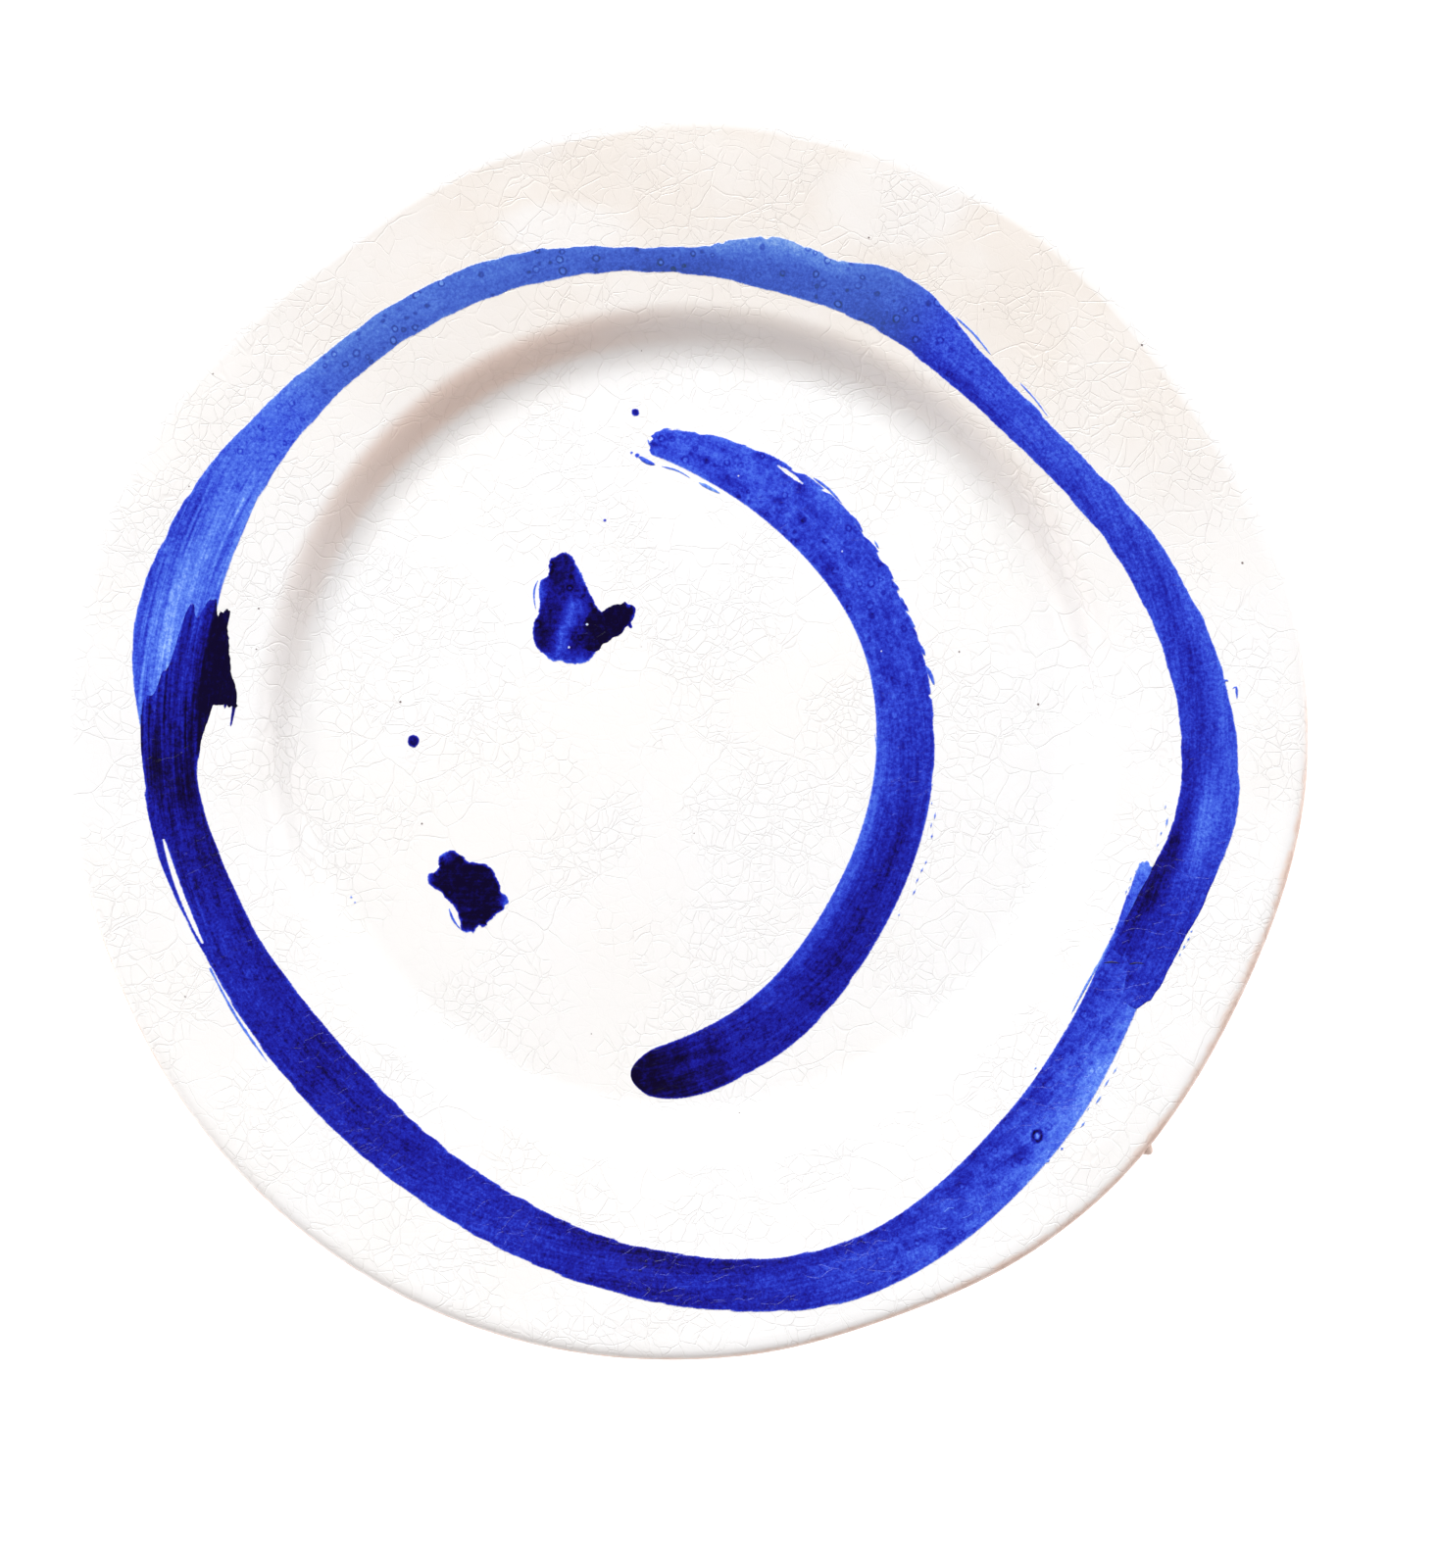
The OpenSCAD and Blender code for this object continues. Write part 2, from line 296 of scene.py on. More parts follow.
# --- Films of paint ---
def crossings(depth, s, v, layers):
    """Points where the film's edge crosses the grid, and every layer's value there."""
    inside = depth > 0
    ids = np.full(depth.shape, -1)
    ids[inside] = np.arange(inside.sum())
    grid_s, grid_v = np.meshgrid(s, v, indexing="ij")
    fields = [grid_s, grid_v, depth] + layers
    columns = [f[inside] for f in fields]
    edge_ids = []
    for axis in (0, 1):
        low = tuple(slice(None, -1) if k == axis else slice(None) for k in (0, 1))
        high = tuple(slice(1, None) if k == axis else slice(None) for k in (0, 1))
        cut = inside[low] != inside[high]
        t = np.clip(depth[low][cut] / (depth[low][cut] - depth[high][cut]), 0.06, 0.94)
        edge = np.full(cut.shape, -1)
        edge[cut] = len(columns[0]) + np.arange(cut.sum())
        edge_ids.append(edge)
        values = [lerp(f[low][cut], f[high][cut], t) for f in fields]
        values[2] = np.zeros(len(t))
        columns = [np.concatenate([c, w]) for c, w in zip(columns, values)]
    return inside, ids, edge_ids, columns


def cell_polygons(inside, ids, edge_ids):
    """The film's polygons in the grid's own turn, and the segments of its edge."""
    corners = [inside[:-1, :-1], inside[1:, :-1], inside[1:, 1:], inside[:-1, 1:]]
    full = corners[0] & corners[1] & corners[2] & corners[3]
    mixed = (corners[0] | corners[1] | corners[2] | corners[3]) & ~full
    quads = np.stack([ids[:-1, :-1][full], ids[1:, :-1][full], ids[1:, 1:][full], ids[:-1, 1:][full]], axis=1)
    polygons = quads.tolist()
    edges = []
    along, across = edge_ids
    for i, j in zip(*np.nonzero(mixed)):
        spots = [(i, j), (i + 1, j), (i + 1, j + 1), (i, j + 1)]
        sides = [along[i, j], across[i + 1, j], along[i, j + 1], across[i, j]]
        held = [bool(inside[p]) for p in spots]
        if held in ([True, False, True, False], [False, True, False, True]):
            for k in range(4):
                if held[k]:
                    polygons.append([int(ids[spots[k]]), int(sides[k]), int(sides[k - 1])])
                    edges.append((int(sides[k]), int(sides[k - 1])))
            continue
        ring = []
        for k in range(4):
            if held[k]:
                ring.append((int(ids[spots[k]]), False))
            if held[k] != held[(k + 1) % 4]:
                ring.append((int(sides[k]), True))
        polygons.append([p for p, _ in ring])
        for k, (p, on_edge) in enumerate(ring):
            q, next_on_edge = ring[(k + 1) % len(ring)]
            if on_edge and next_on_edge:
                edges.append((p, q))
    return polygons, edges


def film(shell, place, s, v, depth, load, lift=0.0, flip=False, step=1.0, bubbly=0.0):
    """A closed film where depth, in millimetres in from the paint's edge, is over zero."""
    depth = depth.copy()
    depth[0, :] = depth[-1, :] = np.minimum(depth[0, :], -0.01)
    depth[:, 0] = depth[:, -1] = np.minimum(depth[:, 0], -0.01)
    lifts = np.broadcast_to(np.asarray(lift, float), depth.shape)
    bubbles = np.broadcast_to(np.asarray(bubbly, float), depth.shape)
    inside, ids, edge_ids, columns = crossings(depth, s, v, [load, lifts, bubbles])
    polygons, edges = cell_polygons(inside, ids, edge_ids)
    if flip:
        polygons = [p[::-1] for p in polygons]
        edges = [(q, p) for p, q in edges]
    col_s, col_v, inset, col_load, col_lift, col_bubbly = columns
    x, y = place(col_s, col_v)
    base = skin_z(x, y) + col_lift
    top = base + lerp(FILM_EDGE, FILM_T, smooth(inset / FILM_ROUND))
    n = len(x)
    verts = np.concatenate([np.stack([x, y, top], axis=1), np.stack([x, y, base - FILM_SINK], axis=1)])
    under = [[n + i for i in p[::-1]] for p in polygons]
    walls = [[q, p, n + p, n + q] for p, q in edges]
    faces = polygons + under + walls
    soft = [True] * len(polygons) + [False] * (len(under) + len(walls))
    shell.add(verts, faces, soft, load=np.tile(col_load, 2), inset=np.tile(inset, 2),
              along=np.tile(col_s * step, 2), across=np.tile(col_v, 2), over=np.tile(col_lift / LAP_LIFT, 2),
              bubbly=np.tile(col_bubbly, 2))


def curve_points(points, step):
    """A smooth open curve through listed points, at about the given step."""
    pts = [np.array(p, float) for p in points]
    if len(pts) == 2:
        n = max(3, int(np.linalg.norm(pts[1] - pts[0]) / step))
        return np.array([lerp(pts[0], pts[1], t) for t in np.linspace(0, 1, n)])
    out = []
    for k in range(len(pts) - 1):
        p, q, r, e = pts[max(0, k - 1)], pts[k], pts[k + 1], pts[min(len(pts) - 1, k + 2)]
        n = max(2, int(np.linalg.norm(r - q) / step))
        for t in np.linspace(0, 1, n, endpoint=False):
            out.append(curve_step(p, q, r, e, t))
    return np.array(out + [pts[-1]])


def hair(shell, points, half_w, load, blunt=0.0, lift=0.0):
    """A thin closed line of paint left by one bristle, tapered at its ends; blunt keeps its start wide.

    Lift raises it over paint that is already there.
    """
    path = curve_points(points, 0.5)
    n = len(path)
    t = np.linspace(0, 1, n)
    taper = np.sqrt(np.clip(4 * t * (1 - t), 0, 1))
    taper = np.where(t < 0.5, np.maximum(taper, blunt), taper)
    width = np.maximum(half_w * taper * (1 + 0.25 * noise(t * n * 0.4, 0.5, 71)), 0.03)
    way = np.gradient(path, axis=0)
    way /= np.maximum(np.linalg.norm(way, axis=1, keepdims=True), 1e-9)
    side = np.stack([-way[:, 1], way[:, 0]], axis=1) * width[:, None]
    left, right = path + side, path - side
    section = []
    corners = [(left, -FILM_SINK), (left, FILM_EDGE), (path, HAIR_T), (right, FILM_EDGE),
               (right, -FILM_SINK)]
    for xy, up in corners:
        section.append(np.column_stack([xy, skin_z(xy[:, 0], xy[:, 1]) + up + lift]))
    verts = np.stack(section, axis=1).reshape(-1, 3)
    faces = []
    soft = []
    for k in range(n - 1):
        for c in range(5):
            d = (c + 1) % 5
            a, b = 5 * k, 5 * (k + 1)
            faces.append([a + c, a + d, b + d, b + c])
            soft.append(c in (1, 2))
    faces += [[4, 3, 2, 1, 0], [5 * (n - 1) + c for c in range(5)]]
    soft += [False, False]
    inset = np.tile([0.0, 0.02, 1.0, 0.02, 0.0], n) * np.repeat(width, 5) * 1.4
    flow = np.repeat(t * n * 0.5, 5)
    shell.add(verts, faces, soft, load=load, inset=inset, along=flow, across=half_w,
              over=float(lift > 0), bubbly=0.0)


def dot(shell, x, y, r, load, seed=0, lift=0.0):
    """A small domed spot of paint with a slightly uneven edge; lift raises it over other paint."""
    n = 28
    a = np.linspace(0, 2 * math.pi, n, endpoint=False)
    wobble = 1 + 0.10 * noise(np.cos(a) * 1.7 + x, np.sin(a) * 1.7 + y, 13 + seed)
    rings = []
    insets = []
    for share, up in ((0.55, FILM_T), (0.85, FILM_T * 0.8), (1.0, FILM_EDGE), (1.0, -FILM_SINK)):
        px, py = x + r * share * wobble * np.cos(a), y + r * share * wobble * np.sin(a)
        rings.append(np.stack([px, py, skin_z(px, py) + up + lift], axis=1))
        insets.append(r * (1 - share) + 0.02)
    rings = np.array(rings)
    middle = skin_z(x, y) + lift
    verts = np.concatenate([rings.reshape(-1, 3), [[x, y, middle + FILM_T], [x, y, middle - FILM_SINK]]])
    faces = lathe_faces(4, n)
    faces += [[4 * n, i, (i + 1) % n] for i in range(n)]
    faces += [[4 * n + 1, 3 * n + (i + 1) % n, 3 * n + i] for i in range(n)]
    soft = [True] * (2 * n) + [False] * n + [True] * n + [False] * n
    inset = np.concatenate([np.repeat(insets, n), [r, 0]])
    shell.add(verts, faces, soft, load=load, inset=inset, along=x, across=y, over=0.0, bubbly=0.0)


# --- Shader nodes ---
class Tree:
    """Shorthand for a material's or group's node tree."""

    def __init__(self, tree):
        self.tree = tree
        self.nodes = tree.nodes
        self.links = tree.links

    def node(self, kind, inputs=None, **settings):
        n = self.nodes.new(kind)
        for key, value in settings.items():
            setattr(n, key, value)
        for key, value in (inputs or {}).items():
            self.feed(n.inputs[key], value)
        return n

    def feed(self, socket, value):
        if isinstance(value, bpy.types.NodeSocket):
            self.links.new(value, socket)
        else:
            socket.default_value = value

    def math(self, operation, a, b=0.0, clamp=False):
        return self.node("ShaderNodeMath", {0: a, 1: b}, operation=operation, use_clamp=clamp).outputs[0]

    def noise(self, vector, scale, detail=2.0, rough=0.5, distortion=0.0):
        n = self.node("ShaderNodeTexNoise", {"Vector": vector, "Scale": scale, "Detail": detail,
                                             "Roughness": rough, "Distortion": distortion})
        return n.outputs["Fac"]

    def span(self, value, low, high, to_low=0.0, to_high=1.0):
        """Maps value from low..high to to_low..to_high, smoothly and clamped."""
        n = self.node("ShaderNodeMapRange", {0: value, 1: low, 2: high, 3: to_low, 4: to_high},
                      interpolation_type="SMOOTHSTEP")
        return n.outputs[0]

    def mix(self, factor, a, b, blend="MIX"):
        n = self.node("ShaderNodeMix", data_type="RGBA", blend_type=blend)
        self.feed(n.inputs[0], factor)
        self.feed(n.inputs[6], a)
        self.feed(n.inputs[7], b)
        return n.outputs[2]

    def value(self, name):
        return self.node("ShaderNodeAttribute", attribute_name=name).outputs["Fac"]

    def ramp(self, factor, stops):
        n = self.node("ShaderNodeValToRGB", {"Fac": factor})
        ramp = n.color_ramp
        while len(ramp.elements) < len(stops):
            ramp.elements.new(1.0)
        for element, (at, colour) in zip(ramp.elements, stops):
            element.position = at
            element.color = colour
        return n.outputs["Color"]


def linear(r, g, b):
    """A display colour of 0 to 255 a channel as linear light with full alpha."""
    def one(c):
        c = c / 255
        return c / 12.92 if c <= 0.04045 else ((c + 0.055) / 1.055) ** 2.4
    return (one(r), one(g), one(b), 1.0)


GLAZE_WARM = (0.88, 0.875, 0.872, 1.0)
GLAZE_COOL = (0.878, 0.885, 0.90, 1.0)
# cream of the painted shade on the rim's far side and of a line along the lip's edge
CREAM_SHADE_AND_EDGE = (0.82, 0.775, 0.732, 1.0)
# warm brown of the painted shade on the verge's steep line
VERGE_SHADE_TINT = (0.86, 0.715, 0.645, 1.0)
LIP_PALE = (0.86, 0.71, 0.64, 1.0)
LIP_TINT = (0.68, 0.49, 0.41, 1.0)
CRACK_TINT = (0.66, 0.56, 0.50, 1.0)
SPECK_TINT = (0.16, 0.12, 0.12, 1.0)
CLAY_TINT = (0.60, 0.39, 0.31, 1.0)
CLAY_PALE = (0.72, 0.53, 0.44, 1.0)
GROG_TINT = (0.86, 0.76, 0.68, 1.0)
PORE_TINT = (0.36, 0.23, 0.18, 1.0)
IRON_DARK = (0.10, 0.075, 0.08, 1.0)
IRON_PALE = (0.24, 0.19, 0.18, 1.0)
FLOOR_DARK = (0.90, 0.90, 0.90, 1.0)
FLOOR_PALE = (0.92, 0.92, 0.92, 1.0)
SMOKY_TINT = (0.09, 0.20, 0.32, 1.0)       # greens and greys the paint where it bubbled
PAINT_STOPS = [(0.00, linear(160, 195, 255)), (0.20, linear(98, 138, 238)), (0.35, linear(70, 104, 224)),
               (0.50, linear(48, 70, 206)), (0.65, linear(30, 40, 175)), (0.80, linear(22, 20, 138)),
               (0.90, linear(14, 8, 86)), (1.00, linear(7, 1, 40))]


def new_group(name, outputs):
    tree = bpy.data.node_groups.new(name, "ShaderNodeTree")
    for label, kind in outputs:
        tree.interface.new_socket(label, in_out="OUTPUT", socket_type=kind)
    return tree, Tree(tree)


def bent_place(t, place, amount):
    """The object's own place, pushed about a little so that lines drawn by it wander."""
    drift = t.node("ShaderNodeTexNoise", {"Vector": place, "Scale": 90.0, "Detail": 2.0}).outputs["Color"]
    centred = t.node("ShaderNodeVectorMath", {0: drift, 1: (0.5, 0.5, 0.5)}, operation="SUBTRACT").outputs[0]
    push = t.node("ShaderNodeVectorMath", {0: centred, "Scale": amount}, operation="SCALE").outputs[0]
    return t.node("ShaderNodeVectorMath", {0: place, 1: push}, operation="ADD").outputs[0]


# Sizes of the crackle: its scale and the lines' width, and the noise range in which it fades in
CRACKLE = [(125.0, 0.022, 0.38, 0.56), (230.0, 0.030, 0.46, 0.62), (340.0, 0.040, 0.42, 0.58)]


def crazing(t, place):
    """Fine cracks in three sizes, each stronger in some areas than in others."""
    bent = bent_place(t, place, 0.006)
    cracks = None
    for scale, width, low, high in CRACKLE:
        cell = t.node("ShaderNodeTexVoronoi", {"Vector": bent, "Scale": scale}, feature="DISTANCE_TO_EDGE")
        line = t.span(cell.outputs["Distance"], 0.0, width, 1.0, 0.0)
        patchy = t.span(t.noise(place, 30.0 + scale * 0.1, 2.0), low, high, 0.15, 1.0)
        line = t.math("MULTIPLY", line, patchy)
        cracks = line if cracks is None else t.math("MAXIMUM", cracks, line)
    return cracks


def glaze_group():
    """Colour, roughness and relief of the crazed white glaze, over the whole plate."""
    tree, t = new_group("glaze_look", [("Color", "NodeSocketColor"), ("Roughness", "NodeSocketFloat"),
                                       ("Height", "NodeSocketFloat")])
    place = t.node("ShaderNodeTexCoord").outputs["Object"]
    cracks = crazing(t, place)
    tone = t.span(t.noise(place, 22.0, 3.0, 0.55), 0.35, 0.65)
    colour = t.mix(tone, GLAZE_WARM, GLAZE_COOL)
    cloud = t.span(t.noise(place, 420.0, 3.0, 0.6), 0.2, 0.8, 0.0, 0.3)
    colour = t.mix(cloud, colour, GLAZE_WARM)
    colour = t.mix(t.math("MULTIPLY", cracks, 0.045), colour, CRACK_TINT)
    grit = t.node("ShaderNodeTexVoronoi", {"Vector": place, "Scale": 210.0})
    picks = t.node("ShaderNodeSeparateColor", {0: grit.outputs["Color"]})
    rare = t.math("GREATER_THAN", picks.outputs[0], 0.988)
    speck = t.math("MULTIPLY", t.span(grit.outputs["Distance"], 0.02, 0.07, 1.0, 0.0), rare)
    colour = t.mix(t.math("MULTIPLY", speck, 0.6), colour, SPECK_TINT)
    rough = t.span(t.noise(place, 130.0, 4.0, 0.6), 0.3, 0.7, 0.10, 0.20)
    relief = t.math("MULTIPLY", t.noise(place, 110.0, 3.0, 0.5), 0.9)
    relief = t.math("ADD", relief, t.math("MULTIPLY", t.noise(place, 520.0, 3.0, 0.6), 0.22))
    relief = t.math("SUBTRACT", relief, t.math("MULTIPLY", cracks, 1.1))
    relief = t.math("SUBTRACT", relief, t.math("MULTIPLY", speck, 0.3))
    out = t.node("NodeGroupOutput")
    t.feed(out.inputs["Color"], colour)
    t.feed(out.inputs["Roughness"], rough)
    t.feed(out.inputs["Height"], relief)
    return tree


GLAZE_LOOK = glaze_group()


def start_material(name):
    material = bpy.data.materials.new(name)
    material.use_nodes = True
    material.node_tree.nodes.clear()
    return material, Tree(material.node_tree)


# Height of each surface's relief, in metres
GLAZE_RELIEF = 0.00006
PAINT_RELIEF = 0.00002
IRON_RELIEF = 0.00003
CLAY_RELIEF = 0.00008
FLOOR_RELIEF = 0.00002


def end_material(t, colour, rough, height, distance, **settings):
    """Joins the looks to a principled shader; settings are the shader's own uniform sockets."""
    bump = t.node("ShaderNodeBump", {"Height": height, "Strength": 1.0, "Distance": distance})
    shader = t.node("ShaderNodeBsdfPrincipled",
                    {"Base Color": colour, "Roughness": rough, "Normal": bump.outputs[0]})
    for label, value in settings.items():
        shader.inputs[label.replace("_", " ")].default_value = value
    out = t.node("ShaderNodeOutputMaterial")
    t.links.new(shader.outputs[0], out.inputs["Surface"])


def glaze_material():
    """Glaze that thins over the lip and at its lower edges, where the clay shows through, with painted shade:
    cream on the rim's far side, warm brown on the verge's steep line, and in the lip's tint on its lower
    side.
    """
    material, t = start_material("white_glaze")
    look = t.node("ShaderNodeGroup", node_tree=GLAZE_LOOK)
    place = t.node("ShaderNodeTexCoord").outputs["Object"]
    # cream painted shade on the rim's far side, lessened where painted reflections lie, and a cream line
    # along the lip's edge on the left
    wash = t.math("MULTIPLY", t.value("wash"), t.span(t.noise(place, 34.0, 4.0, 0.6), 0.30, 0.66, 0.6, 1.05))
    colour = t.mix(wash, look.outputs["Color"], CREAM_SHADE_AND_EDGE)
    # warm brown painted shade on the verge's steep line, on the side turned from the light
    colour = t.mix(t.value("thin"), colour, VERGE_SHADE_TINT)
    # tint of bare clay: real at the glaze's lower edges, and at the lip partly painted shade on the side
    # turned from the light
    ragged = t.span(t.noise(place, 260.0, 4.0, 0.65), 0.25, 0.75, -0.20, 0.20)
    bare = t.math("ADD", t.value("bare"), t.math("MULTIPLY", ragged, t.span(t.value("bare"), 0.0, 0.3)))
    edge_tint = t.mix(t.span(bare, 0.5, 1.15), LIP_PALE, LIP_TINT)
    colour = t.mix(t.span(bare, 0.02, 0.75), colour, edge_tint)
    end_material(t, colour, look.outputs["Roughness"], look.outputs["Height"], GLAZE_RELIEF,
                 IOR=1.5, Specular_IOR_Level=0.4)
    return material


def bubble_rings(t, place):
    """Small burst bubbles in the paint: a darker rim around a pale middle, here and there."""
    bent = bent_place(t, place, 0.003)
    cell = t.node("ShaderNodeTexVoronoi", {"Vector": bent, "Scale": 430.0, "Randomness": 0.85})
    picks = t.node("ShaderNodeSeparateColor", {0: cell.outputs["Color"]})
    size = t.span(picks.outputs[1], 0.0, 1.0, 0.14, 0.34)
    off_rim = t.math("ABSOLUTE", t.math("SUBTRACT", cell.outputs["Distance"], size))
    rim = t.span(off_rim, 0.0, 0.15, 1.0, 0.0)
    middle = t.span(t.math("SUBTRACT", cell.outputs["Distance"], size), -0.12, 0.0, 1.0, 0.0)
    ring = t.math("SUBTRACT", t.math("MULTIPLY", rim, 0.32), t.math("MULTIPLY", middle, 0.16))
    some = t.span(picks.outputs[0], 0.2, 0.65)
    return t.math("MULTIPLY", t.math("MULTIPLY", ring, some), t.value("bubbly"))


def paint_material():
    """Cobalt under the glaze: streaked along the stroke, grained, and thin at its edge."""
    material, t = start_material("cobalt_paint")
    look = t.node("ShaderNodeGroup", node_tree=GLAZE_LOOK)
    place = t.node("ShaderNodeTexCoord").outputs["Object"]
    grain = t.span(t.noise(place, 1700.0, 3.0, 0.75), 0.28, 0.72, -0.12, 0.12)
    mottle = t.span(t.noise(place, 700.0, 3.0, 0.6), 0.25, 0.75, -0.06, 0.06)
    flow = t.node("ShaderNodeCombineXYZ", {0: t.math("MULTIPLY", t.value("along"), 0.10),
                                           1: t.math("MULTIPLY", t.value("across"), 1.8)})
    reach = t.span(t.value("bubbly"), 0.0, 1.0, 0.06, 0.015)
    streak = t.span(t.noise(flow.outputs[0], 1.0, 3.0, 0.6, 0.4), 0.25, 0.75, -1.0, 1.0)
    streak = t.math("MULTIPLY", streak, reach)
    load = t.value("load")
    grain = t.math("MULTIPLY", grain, t.span(load, 0.7, 1.0, 1.0, 0.35))
    for part in (grain, mottle, streak, bubble_rings(t, place)):
        load = t.math("ADD", load, part)
    inset = t.math("ADD", t.value("inset"), t.span(t.noise(place, 2200.0, 2.0, 0.6), 0.3, 0.7, -0.06, 0.06))
    inset = t.math("ADD", inset, t.value("over"))
    load = t.math("MULTIPLY", load, t.span(inset, 0.0, 0.7, 0.72, 1.0))
    colour = t.ramp(load, PAINT_STOPS)
    colour = t.mix(t.span(t.value("bubbly"), 0.5, 1.0, 0.0, 0.30), colour, SMOKY_TINT)
    colour = t.mix(t.span(inset, -0.02, 0.22, 0.12, 1.0), look.outputs["Color"], colour)
    end_material(t, colour, look.outputs["Roughness"], look.outputs["Height"], PAINT_RELIEF,
                 IOR=1.5, Specular_IOR_Level=0.28)
    return material


def speck_material():
    """Iron specks burnt through the glaze, darkest in the middle."""
    material, t = start_material("iron_speck")
    place = t.node("ShaderNodeTexCoord").outputs["Object"]
    tone = t.span(t.noise(place, 2400.0, 3.0, 0.7), 0.3, 0.7)
    colour = t.mix(tone, IRON_DARK, IRON_PALE)
    colour = t.mix(t.span(t.value("inset"), 0.0, 0.12, 0.75, 0.0), colour, GLAZE_WARM)
    end_material(t, colour, t.span(tone, 0.0, 1.0, 0.25, 0.45), tone, IRON_RELIEF, Specular_IOR_Level=0.3)
    return material


def clay_material():
    """Bare fired clay, with fine grog, faint turning lines and warmer patches."""
    material, t = start_material("bare_clay")
    place = t.node("ShaderNodeTexCoord").outputs["Object"]
    parts = t.node("ShaderNodeSeparateXYZ", {0: place})
    squares = [t.math("POWER", parts.outputs[k], 2.0) for k in (0, 1)]
    far = t.math("SQRT", t.math("ADD", squares[0], squares[1]))
    lines = t.math("SINE", t.math("MULTIPLY", t.math("ADD", far, parts.outputs[2]), 5200.0))
    lines = t.math("MULTIPLY", lines, t.span(t.noise(place, 40.0), 0.4, 0.7, 0.1, 1.0))
    patch = t.span(t.noise(place, 35.0, 4.0, 0.6), 0.35, 0.65)
    colour = t.mix(patch, CLAY_PALE, CLAY_TINT)
    grog = t.node("ShaderNodeTexVoronoi", {"Vector": place, "Scale": 900.0})
    fleck = t.span(grog.outputs["Distance"], 0.05, 0.25, 0.45, 0.0)
    colour = t.mix(fleck, colour, GROG_TINT)
    pore = t.span(t.noise(place, 1500.0, 3.0, 0.7), 0.30, 0.42, 0.5, 0.0)
    colour = t.mix(pore, colour, PORE_TINT)
    height = t.math("ADD", t.noise(place, 1200.0, 4.0, 0.7), t.math("MULTIPLY", lines, 0.25))
    end_material(t, colour, t.span(patch, 0.0, 1.0, 0.78, 0.92), height, CLAY_RELIEF)
    return material


def floor_material():
    """Pale paper under the plate, lit a little from below so that shadows stay faint."""
    material, t = start_material("pale_floor")
    place = t.node("ShaderNodeTexCoord").outputs["Object"]
    tone = t.noise(place, 3.0, 2.0)
    colour = t.mix(tone, FLOOR_DARK, FLOOR_PALE)
    end_material(t, colour, t.span(tone, 0.0, 1.0, 0.85, 0.95), t.noise(place, 900.0), FLOOR_RELIEF,
                 Emission_Color=(1.0, 1.0, 1.0, 1.0), Emission_Strength=FLOOR_GLOW)
    return material


# --- Coats of glaze ---
TURNS = 480


def station_list(*spans):
    """Radii from each (from, to, step), without repeating where spans meet."""
    out = []
    for low, high, step in spans:
        out += np.linspace(low, high, max(1, round((high - low) / step)), endpoint=False).tolist()
    return out + [spans[-1][1]]


def lip_profile(start, stop, steps, d, square=2.0):
    """Radius and height around the lip's half-round, by angle; square over 2 makes its corners fuller."""
    out = []
    for b in np.linspace(start, stop, steps):
        c, h = math.cos(math.radians(b)), math.sin(math.radians(b))
        out.append((LIP_CENTRE_R + (LIP_R + d) * c ** (2 / square),
                    (LIP_R + d) * math.copysign(abs(h) ** (2 / square), h)))
    return out


CLAY_FLOOR_Z = SKIN_Z - GLAZE_T
LIP_Z = CLAY_FLOOR_Z + float(clay_face_z(np.array(LIP_CENTRE_R))) - LIP_R
BARE_SHADE_SIDE = 326     # direction in which the lip is most bare and its painted shade darkest: the lower right, turned from the light
LIP_SQUARE = 3.0


def lip_inset(r):
    """How far in from the lip's outermost line a radius is."""
    return PLATE_R - r


def bare_and_shade_at(angles, inset):
    """How bare the lip is, with painted shade in the same tint: most at its outermost line, over a band that
    widens towards the lower side turned from the light, and none on the upper side, which faces it.
    """
    side = 0.5 + 0.5 * np.cos(np.radians(angles - BARE_SHADE_SIDE))
    patchy = 1 + 0.25 * turn_noise(angles, 9, 15)
    wide = (0.6 + 2.1 * side ** 8) * patchy
    near = smooth(0.6 - 2 * np.sin(np.radians(angles)))
    return np.clip(1 - inset / wide, 0, 1) ** 1.3 * near * (0.75 + 0.3 * side)


def cream_shade_at(angles, r):
    """Cream painted shade on the rim's far side, turned from the light, lessened at a few places for painted
    reflections.
    """
    band = smooth((angles - 8) / 40) * smooth((160 - angles) / 55)
    c, h = unit(angles)
    x, y = r * c, r * h
    # painted reflections: at these places the cream painted shade is lessened
    pale = np.maximum(bump_at(x, y, 44, 112, 22, 16), bump_at(x, y, -26, 106, 20, 8))
    deep = 0.8 + 0.25 * smooth((r - 98) / 16)
    ragged = 0.5 * noise(angles / 7, 0.5, 17)
    rim = smooth((r - VERGE_R + 6) / 5) * smooth((126.9 + ragged - r) / 0.9)
    return deep * band * rim * (1 - 0.55 * smooth(pale * 2))


def lip_edge_cream(angles, inset):
    """A creamy line along the lip's outermost edge, on the left."""
    left = smooth((angles - 110) / 30) * smooth((250 - angles) / 30)
    return 0.8 * left * smooth((0.5 - inset) / 0.4)


def painted_verge_shade_at(angles, r):
    """Warm brown painted shade on the verge's steep line, strongest on the far side, which is turned from the
    light.
    """
    side = smooth((angles - 84) / 34) * smooth((172 - angles) / 45)
    ends = smooth((188 - angles) / 30) * smooth(angles / 40)
    return (0.15 + 0.85 * side) * ends * smooth(1.5 - np.abs(r - STEEP_R - 1.2) / 3.6)


